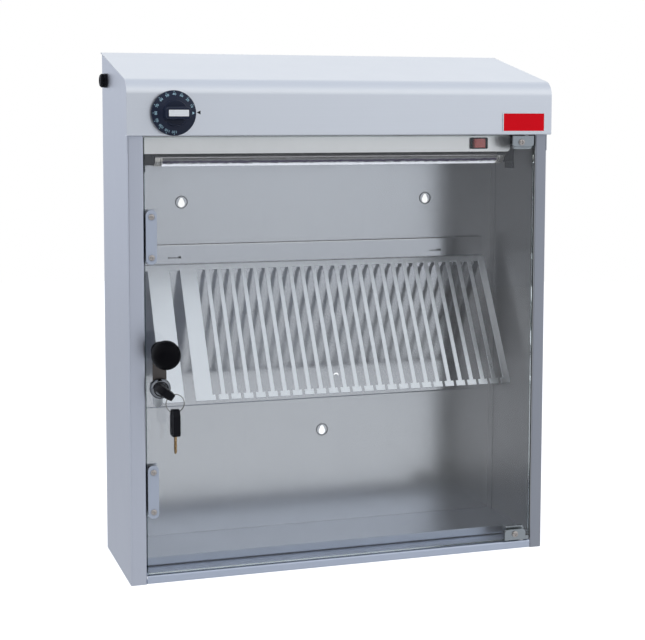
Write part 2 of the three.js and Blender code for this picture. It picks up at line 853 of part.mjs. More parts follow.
// Tube lamp: an open glass tube between two caps with two pins each.
function addLamp() {
  const tubeSpan = [lampLeft + capLength + seatGap, lampRight - capLength - seatGap];
  const tube = cut(
    rod("x", tubeSpan, lampAt, lampRadius),
    rod("x", [tubeSpan[0] - cutOver, tubeSpan[1] + cutOver], lampAt, lampRadius - lampWall),
  );
  place("lamp_tube", tube, glassFinish);
  place("lamp_cap_left", lampCap(-1), chromeFinish);
  place("lamp_cap_right", lampCap(1), chromeFinish);
  place("lampholder_left", lampHolder(-1), whitePlastic);
  place("lampholder_right", lampHolder(1), whitePlastic);
  place("lamp_reflector", lampReflector(), chromeFinish);
}

function lampEnd(side) {
  return side < 0 ? lampLeft : lampRight;
}

function lampCap(side) {
  const end = lampEnd(side);
  const inner = end - side * capLength;
  const span = side < 0 ? [end, inner] : [inner, end];
  const pinSpan = side < 0 ? [end - pinLength, inner] : [inner, end + pinLength];
  const pins = [-1, 1].map((way) => {
    return rod("x", pinSpan, [lampAt[0] + (way * pinSpacing) / 2, lampAt[1]], pinRadius, smallSides);
  });
  return join(rod("x", span, lampAt, lampRadius), ...pins);
}

function lampHolder(side) {
  const face = lampEnd(side) + side * seatGap;
  const rear = face + side * holderThick;
  const outer = rear + side * holderPlate;
  const order = (a, b) => (a < b ? [a, b] : [b, a]);
  const top = hoodBottom - seatGap;
  const depth = around(lampAt[0], holderWidth);
  const body = block(order(face, rear), depth, [top - holderHeight, top]);
  const plate = block(order(face, outer), depth, [top - sheet, top]);
  const back = block(order(rear - side * seatGap, outer), depth, [top - holderPlateHeight, top]);
  const recessSpan = order(face - side * cutOver, face + side * (pinLength + seatGap * 2));
  const recess = rod("x", recessSpan, lampAt, holderRecess);
  const entry = block(recessSpan, around(lampAt[0], pinSlot), [top - holderHeight - cutOver, lampAt[1]]);
  return cut(join(body, plate, back), recess, entry);
}

function lampReflector() {
  const top = hoodBottom - seatGap;
  const shape = foldedShape(
    [
      { at: [lampAt[0] - reflectorMouth / 2, reflectorLip] },
      { at: [lampAt[0] - reflectorTop / 2, top], bend: reflectorBend },
      { at: [lampAt[0] + reflectorTop / 2, top], bend: reflectorBend },
      { at: [lampAt[0] + reflectorMouth / 2, reflectorLip] },
    ].reverse(),
    reflectorThick,
  );
  return drawnAlongX(shape, [lampLeft + seatGap, lampRight - seatGap]);
}

// Ballast, starter and terminals stand on the ceiling panel, out of sight in the hood.
function addElectrics() {
  const base = ceilingTop + seatGap;
  const ballastY = setback(ballastSetback);
  const ballast = join(
    block(around(ballastX, ballastSize[0]), around(ballastY, ballastSize[1]), [base, base + ballastSize[2]]),
    block(
      around(ballastX, ballastSize[0] + ballastEar * 2),
      around(ballastY, ballastSize[1] / 2),
      [base, base + ballastFoot],
    ),
  );
  place("ballast", ballast, ballastFinish);

  const starterY = setback(starterSetback);
  const socketTop = base + starterBase[2];
  const socket = cut(
    block(around(starterX, starterBase[0]), around(starterY, starterBase[1]), [base, socketTop]),
    rod("z", [base + starterBase[2] / 2, socketTop + cutOver], [starterX, starterY], starterRadius + seatGap),
  );
  const starterFoot = base + starterBase[2] / 2 + seatGap;
  place("starter_socket", socket, whitePlastic);
  place(
    "starter",
    rod("z", [starterFoot, starterFoot + starterHeight], [starterX, starterY], starterRadius),
    whitePlastic,
  );

  const terminalY = setback(terminalSetback);
  const pitch = terminalSize[0] / terminalPoles;
  const bores = Array.from({ length: terminalPoles }, (_, i) => {
    const x = terminalX - terminalSize[0] / 2 + pitch * (i + 0.5);
    const depth = [terminalY - terminalSize[1] / 2 - cutOver, terminalY + terminalSize[1] / 2 + cutOver];
    return rod("y", depth, [x, base + terminalSize[2] / 2], terminalBore, smallSides);
  });
  const terminals = block(
    around(terminalX, terminalSize[0]),
    around(terminalY, terminalSize[1]),
    [base, base + terminalSize[2]],
  );
  place("terminal_block", cut(terminals, ...bores), whitePlastic);
  place("cable_gland", cableGland(), blackPlastic);
  place("gland_nut", glandLockNut(), blackPlastic);
}

// Heights of a clamp's parts, measured from the glass edge that it holds.
function clampEdge(level) {
  const edge = level > 0 ? glassTop : glassBottom;
  const inward = (distance) => edge - level * distance;
  const span = (from, to) => [inward(from), inward(to)].sort((a, b) => a - b);
  return { edge, inward, span };
}

function clampRight() {
  return pivotX + clampFromPivot;
}

function clampLeft(level) {
  return clampRight() - clampWidth - (level > 0 ? 0 : clampShift);
}

function clampScrewAt(level) {
  const { inward } = clampEdge(level);
  return [pivotX - clampScrewX - (level > 0 ? 0 : clampShift / 2), inward(clampScrewHeight)];
}

// A clamp grips a notched corner of the glass between two plates joined by a boss for the pin.
function hingeClamp(level) {
  const { span } = clampEdge(level);
  const frontY = [setback(glassFront - seatGap - clampPlate), setback(glassFront - seatGap)];
  const rearY = [setback(glassRear + seatGap), setback(glassRear + seatGap + clampPlate)];
  const right = clampRight() - (level > 0 ? 0 : clampShift);
  const width = [clampLeft(level), right];
  const [low, high] = span(0, clampFrontHeight);
  const frontShape = roundedRectangle(
    (width[0] + width[1]) / 2,
    (low + high) / 2,
    width[1] - width[0],
    high - low,
    clampCorner,
  );
  const front = join(block(width, frontY, span(0, clampFrontHeight / 2)), drawnAlongY(frontShape, frontY));
  const rear =block([width[0] + clampInset, width[1]], rearY, span(0, clampRearHeight));
  const bossRight = clampRight();
  const boss = block(
    [pivotX - clampBoss / 2 - seatGap, bossRight],
    [frontY[0] + seatGap, rearY[1] - seatGap],
    span(0, clampBoss),
  );
  const pinHole = rod(
    "z",
    span(-cutOver, clampBoss + cutOver),
    [pivotX, setback(pivotSetback)],
    pivotRadius + seatGap,
    smallSides,
  );
  const screwHole = rod(
    "y",
    [frontY[0] - cutOver, rearY[1] + cutOver],
    clampScrewAt(level),
    clampScrewRadius + seatGap,
    smallSides,
  );
  return cut(join(front, rear, boss), pinHole, screwHole);
}

// A domed screw whose head faces the front: [axis x, z], head seat and shank end as setbacks.
function domeScrew([x, z], seat, tip, shankRadius, headRadius, headRise) {
  const length = tip - seat;
  const shoulder = headRise * 0.35;
  return turnedForward(
    [
      [0, -length],
      [shankRadius, -length],
      [shankRadius, 0],
      [headRadius, 0],
      [headRadius, shoulder],
      [headRadius * 0.8, headRise * 0.75],
      [headRadius * 0.45, headRise],
      [0, headRise],
    ],
    x,
    setback(seat),
    z,
    smallSides,
  );
}

function hingePin(level) {
  const { span } = clampEdge(level);
  const at = [pivotX, setback(pivotSetback)];
  return rod("z", span(-(pivotLength - clampBoss), clampBoss), at, pivotRadius, smallSides);
}

// A flanged bush in the hood's return or in the floor, around a pivot pin.
function hingeBush(level) {
  const wall = level > 0 ? hoodBottom : floorHeight;
  const towards = (distance) => wall - level * distance;
  const at = [pivotX, setback(pivotSetback)];
  const sleeveRadius = pivotRadius + seatGap + bushWall;
  const ordered = (a, b) => [towards(a), towards(b)].sort((m, n) => m - n);
  const flange = rod("z", ordered(seatGap, seatGap + bushFlangeThick), at, bushFlange, smallSides);
  const sleeve = rod("z", ordered(-sheet - seatGap, seatGap + bushFlangeThick), at, sleeveRadius, smallSides);
  const bore = rod(
    "z",
    ordered(-sheet - cutOver, seatGap + bushFlangeThick + cutOver),
    at,
    pivotRadius + seatGap,
    smallSides,
  );
  return cut(join(flange, sleeve), bore);
}

function magnetPlateScrewHeights(centre) {
  return [-1, 1].map((way) => centre + (way * plateScrewSpacing) / 2);
}

function doorGlass() {
  const across = [setback(glassFront) - cutOver, setback(glassRear) + cutOver];
  const pane = block([glassLeft, glassRight], [setback(glassFront), setback(glassRear)], [glassBottom, glassTop]);
  const notches = [-1, 1].map((level) => {
    const { span } = clampEdge(level);
    return block(
      [pivotX - clampBoss / 2 - seatGap * 2, glassRight + cutOver],
      across,
      span(-cutOver, clampBoss + seatGap),
    );
  });
  const clampHoles = [-1, 1].map((level) => {
    return rod("y", across, clampScrewAt(level), clampScrewRadius + seatGap * 2, smallSides);
  });
  const plateHoles = plateHeights.flatMap((centre) => {
    return magnetPlateScrewHeights(centre).map((z) => {
      return rod("y", across, [plateX, z], plateScrewRadius + seatGap, smallSides);
    });
  });
  const handleHole = rod("y", across, [handleX, handleHeight], handleBore + seatGap, smallSides);
  const lockHole = rod("y", across, [handleX, lockHeight], lockBarrelRadius + seatGap);
  return cut(pane, ...notches, ...clampHoles, ...plateHoles, handleHole, lockHole);
}

function stadium(x, z, width, height) {
  return roundedRectangle(x, z, width, height, width / 2 - seatGap / 2);
}

function addDoor() {
  place("door_glass", doorGlass(), glassFinish);
  for (const [word, level] of [["upper", 1], ["lower", -1]]) {
    place(`${word}_hinge_clamp`, hingeClamp(level), chromeFinish);
    place(
      `${word}_clamp_screw`,
      domeScrew(
        clampScrewAt(level),
        glassFront - seatGap - clampPlate - seatGap,
        glassRear + seatGap + clampPlate,
        clampScrewRadius,
        clampScrewHead,
        clampScrewRise,
      ),
      chromeFinish,
    );
    place(`${word}_hinge_pin`, hingePin(level), chromeFinish);
    place(`${word}_hinge_bush`, hingeBush(level), whitePlastic);
  }
  plateHeights.forEach((centre, i) => addMagnetCatch(["lower", "upper"][i], centre));
}

// One magnetic catch: a plate in front of the glass, a magnet behind it, and a fixed bracket.
function addMagnetCatch(word, centre) {
  const plateY = [setback(glassFront - seatGap - plateThick), setback(glassFront - seatGap)];
  const magnetFront = glassRear + seatGap;
  const magnetY = [setback(magnetFront), setback(magnetFront + magnetThick)];
  const screwTip = magnetFront + magnetThick - sheet;
  const heights = magnetPlateScrewHeights(centre);
  const holes = (span, radius) => heights.map((z) => rod("y", span, [plateX, z], radius, smallSides));
  const plate = drawnAlongY(stadium(plateX, centre, plateWidth, plateHeight), plateY, bendSteps * 2);
  const plateCut = [plateY[0] - cutOver, plateY[1] + cutOver];
  place(`${word}_magnet_plate`, cut(plate, ...holes(plateCut, plateScrewRadius + seatGap)), lilacPaint);
  heights.forEach((z, k) => {
    place(
      `${word}_magnet_screw_${k + 1}`,
      domeScrew(
        [plateX, z],
        glassFront - seatGap - plateThick - seatGap,
        screwTip,
        plateScrewRadius,
        plateScrewHead,
        plateScrewRise,
      ),
      chromeFinish,
    );
  });
  const magnet = block(around(plateX, magnetSize[0]), magnetY, around(centre, magnetSize[1]));
  const magnetBores = holes([magnetY[0] - cutOver, setback(screwTip + seatGap)], plateScrewRadius + seatGap);
  place(`${word}_door_magnet`, cut(magnet, ...magnetBores), magnetFinish);
  place(`${word}_strike_bracket`, strikeBracket(centre, magnetFront + magnetThick + seatGap), steelFinish);
}

function strikeBracket(centre, face) {
  const shape = foldedShape(
    [
      { at: [-innerHalf, setback(face + bracketLeg)] },
      { at: [-innerHalf, setback(face)], bend: bendRadius },
      { at: [plateX + plateWidth / 2, setback(face)] },
    ],
    sheet,
  );
  return drawnAlongZ(shape, around(centre, plateHeight));
}

// The knob on its plate, fixed by a screw from behind the glass.
function addHandle() {
  const plateY = [setback(glassFront - seatGap - escutcheonThick), setback(glassFront - seatGap)];
  const plateMiddle = (escutcheonTop + escutcheonBottom) / 2;
  const plateTall = escutcheonTop - escutcheonBottom;
  const across = [plateY[0] - cutOver, plateY[1] + cutOver];
  const plate = cut(
    drawnAlongY(stadium(handleX, plateMiddle, escutcheonWidth, plateTall), plateY, bendSteps * 2),
    rod("y", across, [handleX, handleHeight], handleBore + seatGap, smallSides),
    rod("y", across, [handleX, lockHeight], lockBarrelRadius + seatGap),
  );
  place("escutcheon_plate", plate, bronzeFinish);

  const foot = setback(glassFront - seatGap - escutcheonThick - seatGap);
  const knob = turnedForward(
    [
      [0, 0],
      [handleFoot, 0],
      [handleFoot, handleReach * 0.14],
      [handleFoot * 0.9, handleReach * 0.26],
      [handleFoot * 0.96, handleReach * 0.38],
      [handleHead * 0.86, handleReach * 0.52],
      [handleHead * 0.97, handleReach * 0.62],
      [handleHead, handleReach * 0.72],
      [handleHead * 0.94, handleReach * 0.84],
      [handleHead * 0.76, handleReach * 0.94],
      [handleHead * 0.45, handleReach * 0.99],
      [0, handleReach],
    ],
    handleX,
    foot,
    handleHeight,
  );
  const bore = rod(
    "y",
    [foot - handleBoreDepth - seatGap, foot + cutOver],
    [handleX, handleHeight],
    handleBore + seatGap,
    smallSides,
  );
  place("door_knob", cut(knob, bore), blackPlastic);

  const rear = setback(glassRear + seatGap);
  const screw = join(
    rod("y", [foot - handleBoreDepth, rear], [handleX, handleHeight], handleBore, smallSides),
    rod("y", [rear, rear + handleBore], [handleX, handleHeight], handleScrewHead, smallSides),
  );
  place("knob_screw", screw, chromeFinish);
}

const lockFace = glassFront - seatGap - escutcheonThick - seatGap;

// Cam lock: a barrel through the plate and glass, a nut, a turning plug and the cam behind.
function addLock() {
  const at = [handleX, lockHeight];
  const rearFace = glassRear + lockRear + seatGap;
  const flange = turnedForward(
    [
      [0, 0],
      [lockFlangeRadius, 0],
      [lockFlangeRadius, lockFlange * 0.55],
      [lockFlangeRadius * 0.93, lockFlange * 0.82],
      [lockFlangeRadius * 0.8, lockFlange],
      [0, lockFlange],
    ],
    handleX,
    setback(lockFace),
    lockHeight,
  );
  const barrelBack = rod("y", [setback(lockFace) - seatGap, setback(rearFace)], at, lockBarrelRadius);
  const through = [setback(lockFace - lockFlange) - cutOver, setback(rearFace) + cutOver];
  const dish = rod("y", [through[0], setback(lockFace - lockFlange) + lockDish], at, lockDishRadius);
  place("lock_barrel", cut(join(flange, barrelBack), dish, rod("y", through, at, lockBoreRadius)), chromeFinish);

  const hexSides = 6;
  const nutY = [setback(glassRear + seatGap), setback(glassRear + seatGap + lockNutThick)];
  const nut = cut(
    rod("y", nutY, at, lockNutRadius, hexSides),
    rod("y", [nutY[0] - cutOver, nutY[1] + cutOver], at, lockBarrelRadius + seatGap),
  );
  place("lock_nut", nut, chromeFinish);

  const plugFront = setback(lockFace - lockFlange) - seatGap;
  const plugRear = setback(rearFace) + seatGap;
  const slotSize = keyBlade.map((size) => size + seatGap * 2);
  const slot = tilted(
    block(around(0, slotSize[0]), [plugFront - cutOver, plugFront + keyBladeDepth + seatGap], around(0, slotSize[1])),
  );
  const plug = join(
    rod("y", [plugFront, plugRear], at, lockPlugRadius),
    rod("y", [plugRear, plugRear + camStubLength], at, camStub, smallSides),
  );
  place("lock_plug", cut(plug, slot), chromeFinish);

  const camY = [plugRear + seatGap, plugRear + seatGap + camThick];
  const reach = camLength - camWidth / 2;
  const middle = lockHeight - reach / 2;
  const cam = cut(
    drawnAlongY(stadium(handleX, middle, camWidth, reach + camWidth), camY, bendSteps * 2),
    rod("y", [camY[0] - cutOver, camY[1] + cutOver], at, camStub + seatGap, smallSides),
  );
  place("lock_cam", cam, steelFinish);
  addKeys(plugFront);
}

// Turns a solid made about the lock's axis to the key's resting tilt and moves it there.
function tilted(solid) {
  return solid.rotate([0, keyTilt, 0]).translate([handleX, 0, lockHeight]);
}

function eyePlace(plugFront) {
  const tilt = THREE.MathUtils.degToRad(keyTilt);
  return [
    handleX + keyEyeSide * Math.cos(tilt),
    plugFront - keyNeck - keyEyeOut,
    lockHeight - keyEyeSide * Math.sin(tilt),
  ];
}

// Key in the lock, the wire ring through its eye, and the spare key hanging on the ring.
function addKeys(plugFront) {
  const headBack = plugFront - keyNeck;
  const headShape = roundedRectangle(0, headBack - keyHead[1] / 2, keyHead[0], keyHead[1], keyHeadCorner);
  const head = drawnAlongZ(headShape, around(0, keyHeadThick), bendSteps + 2);
  const blade = block(around(0, keyBlade[0]), [headBack - cutOver, plugFront + keyBladeDepth], around(0, keyBlade[1]));
  const [eyeX, eyeY, eyeZ] = eyePlace(plugFront);
  const swing = THREE.MathUtils.degToRad(ringTilt);
  const eyeTool = new THREE.CylinderGeometry(keyEyeRadius, keyEyeRadius, keyHeadThick * 3, smallSides);
  eyeTool.rotateZ(-Math.PI / 2);
  eyeTool.rotateY(-swing);
  eyeTool.translate(eyeX, eyeY, eyeZ);
  place("lock_key", cut(tilted(join(head, blade)), solidOf(eyeTool)), blackPlastic);

  const centreX = eyeX + ringRadius * Math.sin(swing);
  const centreZ = eyeZ - ringRadius * Math.cos(swing);
  const torus = new THREE.TorusGeometry(ringRadius, ringWire, ringWireSides, ringSteps);
  torus.rotateX(Math.PI / 2);
  torus.translate(centreX, eyeY, centreZ);
  place("key_ring", solidOf(torus), chromeFinish);
  addSpareKey(centreX, eyeY, centreZ - ringRadius);
}

function addSpareKey(x, y, z) {
  const top = z + spareEyeDrop;
  const headShape = roundedRectangle(y, top - spareHead[1] / 2, spareHead[0], spareHead[1], keyHeadCorner);
  const head = drawnAlongX(headShape, around(x, keyHeadThick));
  const eye = rod("x", around(x, keyHeadThick + cutOver * 2), [y, z], keyEyeRadius, smallSides);
  place("spare_key_head", cut(head, eye), blackPlastic);
  const bladeTop = top - spareHead[1] - seatGap;
  const tip = keyBlade[0] / 2;
  const blade = new THREE.Shape();
  blade.moveTo(y - keyBlade[0] / 2, bladeTop);
  blade.lineTo(y + keyBlade[0] / 2, bladeTop);
  blade.lineTo(y + keyBlade[0] / 2, bladeTop - spareBladeLength + tip);
  blade.lineTo(y, bladeTop - spareBladeLength);
  blade.lineTo(y - keyBlade[0] / 2, bladeTop - spareBladeLength + tip);
  place("spare_key_blade", drawnAlongX(blade, around(x, keyBlade[1])), brassFinish);
}

// Rack plate: stands off the back panel on its folded edges and hangs on two tabs.
function rackPlate() {
  const rear = -sheet - seatGap;
  const face = setback(rackFace);
  const shape = foldedShape(
    [
      { at: [rear, rackTop] },
      { at: [face, rackTop], bend: bendRadius },
      { at: [face, rackBottom], bend: bendRadius },
      { at: [rear, rackBottom] },
    ],
    sheet,
  );
  const plate = drawnAlongX(shape, [-rackHalf, rackHalf]);
  const tabs = [-1, 1].map((side) => hangingTab(side * cleatX));
  const windows = [-1, 1].map((side) => {
    return block(
      around(side * cleatX, windowWidth),
      [face - cutOver, face + sheet + seatGap],
      [cleatHeight + tabRise - windowHeight, cleatHeight + tabRise],
    );
  });
  const peep = cut(
    rod("y", [face - cutOver, face + sheet + seatGap], [peepX, peepHeight], peepRadius, smallSides),
    rod("y", [face - cutOver, face + sheet + seatGap], [peepX, peepHeight - peepBack], peepRadius, smallSides),
  );
  return cut(join(plate, ...tabs), ...windows, peep);
}

// Moving half of the rack's hook: a tab bent back from the plate and down behind the cleat's lip.
function hangingTab(x) {
  const width = around(x, cleatWidth);
  const face = setback(rackFace) + sheet;
  const tabTop = cleatHeight + tabRise + sheet;
  const legBack = -sheet - sheet - seatGap;
  const legFront = legBack - sheet;
  const arm = block(width, [face - seatGap, legBack], [tabTop - sheet, tabTop]);
  const leg = block(width, [legFront, legBack], [cleatHeight + seatGap, tabTop]);
  return join(arm, leg);
}

// Gaps between the comb's bars: each has a root width and, behind the heads, a narrower mouth.
function combGaps() {
  const overhang = (headWidth - barWidth) / 2;
  const lefts = Array.from({ length: barCount }, (_, i) => barFirst + barPitch * i - barWidth / 2);
  const gaps = [
    { root: [endBarRight, tongueLeft], mouth: [endBarRight, tongueLeft] },
    { root: [tongueRight, platenLeft], mouth: [tongueRight, platenLeft] },
  ];
  lefts.forEach((left, i) => {
    const before = i === 0 ? platenRight : lefts[i - 1] + barWidth;
    gaps.push({ root: [before, left], mouth: [before + overhang, left - overhang] });
  });
  return gaps;
}

// The comb is one folded sheet: a hem against the plate, a round top and a slotted slope.
function rackComb() {
  const slope = THREE.MathUtils.degToRad(combAngle);
  const down = [-Math.cos(slope), -Math.sin(slope)];
  const hemBack = setback(rackFace - seatGap);
  const corner = combTop + combBend * (Math.tan((Math.PI / 2 + slope) / 2) - 1);
  const run = combBend * Math.tan((Math.PI / 2 + slope) / 2);
  const reach = combLength + run;
  const shape = foldedShape(
    [
      { at: [hemBack, combTop - combHem] },
      { at: [hemBack, corner], bend: combBend, steps: bendSteps * 2 },
      { at: [hemBack + down[0] * reach, corner + down[1] * reach] },
    ],
    sheet,
  );
  const slots = combGaps().map(({ root, mouth }) => {
    const outline = new THREE.Shape();
    const front = -combLength - cutOver;
    const neck = -combLength + headLength;
    outline.moveTo(root[0], -combRail);
    outline.lineTo(root[0], neck);
    outline.lineTo(mouth[0], neck);
    outline.lineTo(mouth[0], front);
    outline.lineTo(mouth[1], front);
    outline.lineTo(mouth[1], neck);
    outline.lineTo(root[1], neck);
    outline.lineTo(root[1], -combRail);
    const depth = sheet + cutOver * 2;
    const tool = new THREE.ExtrudeGeometry(outline, { depth, bevelEnabled: false });
    tool.translate(0, 0, -depth + cutOver);
    tool.rotateX(slope);
    tool.translate(0, hemBack + down[0] * run, corner + down[1] * run);
    return solidOf(tool);
  });
  return cut(drawnAlongX(shape, [-rackHalf, rackHalf]), ...slots);
}

addBody();
addTimer();
addSwitch();
addLamp();
addElectrics();
addDoor();
addHandle();
addLock();
place("rack_plate", rackPlate(), paleSteel);
place("rack_comb", rackComb(), paleSteel);

// The model is drawn with its base at height zero, and its frame is at the hanging holes.
cabinet.position.set(0, 0, -hangHeight);

export default cabinet;
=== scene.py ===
import bpy
import json
import math
from mathutils import Matrix, Vector


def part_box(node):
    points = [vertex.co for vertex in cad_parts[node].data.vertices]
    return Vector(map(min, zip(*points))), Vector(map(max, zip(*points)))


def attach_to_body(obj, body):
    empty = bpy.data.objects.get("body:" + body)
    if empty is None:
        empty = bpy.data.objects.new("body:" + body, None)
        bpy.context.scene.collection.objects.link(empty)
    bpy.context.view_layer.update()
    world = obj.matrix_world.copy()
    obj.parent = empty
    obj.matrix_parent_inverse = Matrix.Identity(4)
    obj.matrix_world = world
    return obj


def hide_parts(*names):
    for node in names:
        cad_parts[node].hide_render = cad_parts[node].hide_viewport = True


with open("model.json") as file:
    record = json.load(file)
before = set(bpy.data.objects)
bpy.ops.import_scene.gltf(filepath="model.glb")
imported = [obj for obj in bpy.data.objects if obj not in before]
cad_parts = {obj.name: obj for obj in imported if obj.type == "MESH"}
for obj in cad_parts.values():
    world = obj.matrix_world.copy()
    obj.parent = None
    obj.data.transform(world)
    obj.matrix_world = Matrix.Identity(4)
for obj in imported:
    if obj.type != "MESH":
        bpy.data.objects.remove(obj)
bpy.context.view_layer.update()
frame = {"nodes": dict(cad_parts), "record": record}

MM = 0.001
BODY_DEPTH = 158
HANG_HEIGHT = 421.5
TOWARDS_FRONT = (math.pi / 2, 0, 0)
TOWARDS_LEFT = (0, -math.pi / 2, 0)
TOWARDS_RIGHT = (0, math.pi / 2, 0)
UPRIGHT = (0, 0, 0)
BODY_OF = {node: body for body, nodes in frame["record"]["behaviour"]["bodies"].items() for node in nodes}


def at(x, depth, height):
    """A place from the centre line, the front plane and the base, in millimetres."""
    return Vector((x, depth - BODY_DEPTH, height - HANG_HEIGHT)) * MM


def middle(node):
    low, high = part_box(node)
    return (low + high) / 2


def extent(node):
    """A solid's size in millimetres."""
    low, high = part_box(node)
    return (high - low) / MM


def foot(node, turn=TOWARDS_FRONT):
    """Where a round piece starts that grows along its turn: the middle of the solid's end there."""
    low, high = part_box(node)
    place = middle(node)
    if turn == UPRIGHT:
        place.z = low.z
    elif turn == TOWARDS_FRONT:
        place.y = high.y
    else:
        place.x = low.x if turn == TOWARDS_RIGHT else high.x
    return place


# Camera, light and room

def add_camera():
    """Solved on the edges of the body in the photograph; the focal length is in its pixels."""
    focal, picture_width, yaw, pitch, roll = 1474.15, 645, 0.3126, 0.0881, 0.0015
    eye = at(-549.1, -1611.08, 533.87)
    data = bpy.data.cameras.new("studio_camera")
    data.sensor_width = 36
    data.lens = focal * data.sensor_width / picture_width
    data.shift_x = -0.00045
    data.shift_y = -0.1209
    data.clip_start = 0.05
    data.clip_end = 60
    camera = bpy.data.objects.new("studio_camera", data)
    bpy.context.scene.collection.objects.link(camera)
    look = Vector((math.sin(yaw) * math.cos(pitch), math.cos(yaw) * math.cos(pitch), -math.sin(pitch)))
    aim = look.to_track_quat("-Z", "Y").to_matrix().to_4x4()
    camera.matrix_world = Matrix.Translation(eye) @ aim @ Matrix.Rotation(roll, 4, "Z")
    bpy.context.scene.camera = camera


def add_lamp(name, place, target, size, power, colour):
    data = bpy.data.lights.new(name, "AREA")
    data.shape = "SQUARE"
    data.size = size
    data.energy = power
    data.color = colour
    lamp = bpy.data.objects.new(name, data)
    bpy.context.scene.collection.objects.link(lamp)
    lamp.location = place
    lamp.rotation_euler = (Vector(target) - Vector(place)).to_track_quat("-Z", "Y").to_euler()
    return lamp


def reckon(tree, kind, *values, clamp=False):
    """One sum on values or sockets."""
    node = tree.nodes.new("ShaderNodeMath")
    node.operation = kind
    node.use_clamp = clamp
    for socket, value in zip(node.inputs, values):
        if isinstance(value, (int, float)):
            socket.default_value = value
        else:
            tree.links.new(value, socket)
    return node.outputs[0]


def rescale(tree, value, near=0, far=1, to_near=0, to_far=1):
    """A value moved from one range to another."""
    node = tree.nodes.new("ShaderNodeMapRange")
    for label, limit in zip(("From Min", "From Max", "To Min", "To Max"), (near, far, to_near, to_far)):
        node.inputs[label].default_value = limit
    tree.links.new(value, node.inputs["Value"])
    return node.outputs[0]


def ramp(tree, value, stops):
    """A colour that follows a value through (place, colour) stops."""
    node = tree.nodes.new("ShaderNodeValToRGB")
    marks = node.color_ramp.elements
    while len(marks) < len(stops):
        marks.new(0.5)
    for mark, (place, colour) in zip(marks, stops):
        mark.position = place
        mark.color = (*colour, 1)
    tree.links.new(value, node.inputs["Fac"])
    return node.outputs["Color"]


def seen_straight(tree, rays):
    """1 on rays from the camera, also through glass, and 0 on those that a surface has reflected."""
    bounces = reckon(tree, "ADD", rays.outputs["Diffuse Depth"], rays.outputs["Glossy Depth"])
    straight = reckon(tree, "LESS_THAN", bounces, 0.5)
    through = reckon(tree, "MULTIPLY", rays.outputs["Is Transmission Ray"], straight)
    return reckon(tree, "MAXIMUM", rays.outputs["Is Camera Ray"], through)


def add_world():
    """A pale studio: white where it is seen straight, softly graded where surfaces reflect it."""
    world = bpy.data.worlds.new("studio")
    bpy.context.scene.world = world
    world.use_nodes = True
    tree = world.node_tree
    tree.nodes.clear()
    output = tree.nodes.new("ShaderNodeOutputWorld")
    place = tree.nodes.new("ShaderNodeTexCoord")
    parts = tree.nodes.new("ShaderNodeSeparateXYZ")
    tree.links.new(place.outputs["Generated"], parts.inputs[0])
    rise = reckon(tree, "MULTIPLY_ADD", parts.outputs["Z"], 0.5, 0.5)
    bright = (0.95, 0.97, 1.00)
    low_stops = [(0.0, (0.38, 0.40, 0.45)), (0.40, (0.50, 0.53, 0.60)), (0.52, (0.72, 0.76, 0.83))]
    high_stops = [(0.66, bright), (0.80, bright), (0.92, (0.70, 0.74, 0.81)), (1.0, (0.66, 0.70, 0.78))]
    walls = ramp(tree, rise, low_stops + high_stops)
    across = tree.nodes.new("ShaderNodeVectorMath")
    across.operation = "DOT_PRODUCT"
    across.inputs[1].default_value = Vector((-0.37, -0.93, 0.0)).normalized()
    tree.links.new(place.outputs["Generated"], across.inputs[0])
    dim = rescale(tree, across.outputs["Value"], 0.83, 0.96, 1, 0.12)
    dim.node.interpolation_type = "SMOOTHSTEP"
    graded = tree.nodes.new("ShaderNodeBackground")
    tree.links.new(walls, graded.inputs["Color"])
    tree.links.new(dim, graded.inputs["Strength"])
    plain = tree.nodes.new("ShaderNodeBackground")
    plain.inputs["Color"].default_value = (1, 1, 1, 1)
    rays = tree.nodes.new("ShaderNodeLightPath")
    mix = tree.nodes.new("ShaderNodeMixShader")
    tree.links.new(seen_straight(tree, rays), mix.inputs["Fac"])
    tree.links.new(graded.outputs[0], mix.inputs[1])
    tree.links.new(plain.outputs[0], mix.inputs[2])
    tree.links.new(mix.outputs[0], output.inputs["Surface"])


def add_floor():
    """A pale floor well below the cabinet, white to the eye and still shaded by what is above it."""
    drop, reach, seen, reflected = -0.78, 6, 0.75, 0.12
    deselect()
    bpy.ops.mesh.primitive_circle_add(vertices=96, radius=reach, fill_type="NGON", location=(0, 0, drop))
    floor = bpy.context.object
    floor.name = "floor"
    paint = bpy.data.materials.new("pale_floor")
    paint.use_nodes = True
    tree = paint.node_tree
    tree.nodes.clear()
    output = tree.nodes.new("ShaderNodeOutputMaterial")
    matt = tree.nodes.new("ShaderNodeBsdfDiffuse")
    matt.inputs["Color"].default_value = (0.5, 0.51, 0.53, 1)
    glow = tree.nodes.new("ShaderNodeEmission")
    rays = tree.nodes.new("ShaderNodeLightPath")
    whole = reckon(tree, "MULTIPLY", seen_straight(tree, rays), seen)
    tree.links.new(reckon(tree, "MAXIMUM", whole, reflected), glow.inputs["Strength"])
    total = tree.nodes.new("ShaderNodeAddShader")
    tree.links.new(matt.outputs[0], total.inputs[0])
    tree.links.new(glow.outputs[0], total.inputs[1])
    tree.links.new(total.outputs[0], output.inputs["Surface"])
    floor.data.materials.append(paint)


def add_room():
    add_world()
    add_floor()
    key = add_lamp("key_softbox", (-1.7, -2.4, 1.9), (0, 0, 0), 1.6, 30, (1, 0.99, 0.97))
    fill = add_lamp("fill_softbox", (1.5, -2.6, 0.5), (0, 0, -0.1), 1.4, 9, (0.93, 0.96, 1))
    for lamp in (key, fill):
        lamp.visible_glossy = False
        lamp.visible_transmission = False


# Modelling helpers

def deselect():
    if bpy.context.object is not None and bpy.context.object.mode != "OBJECT":
        stop_editing()
    bpy.ops.object.select_all(action="DESELECT")


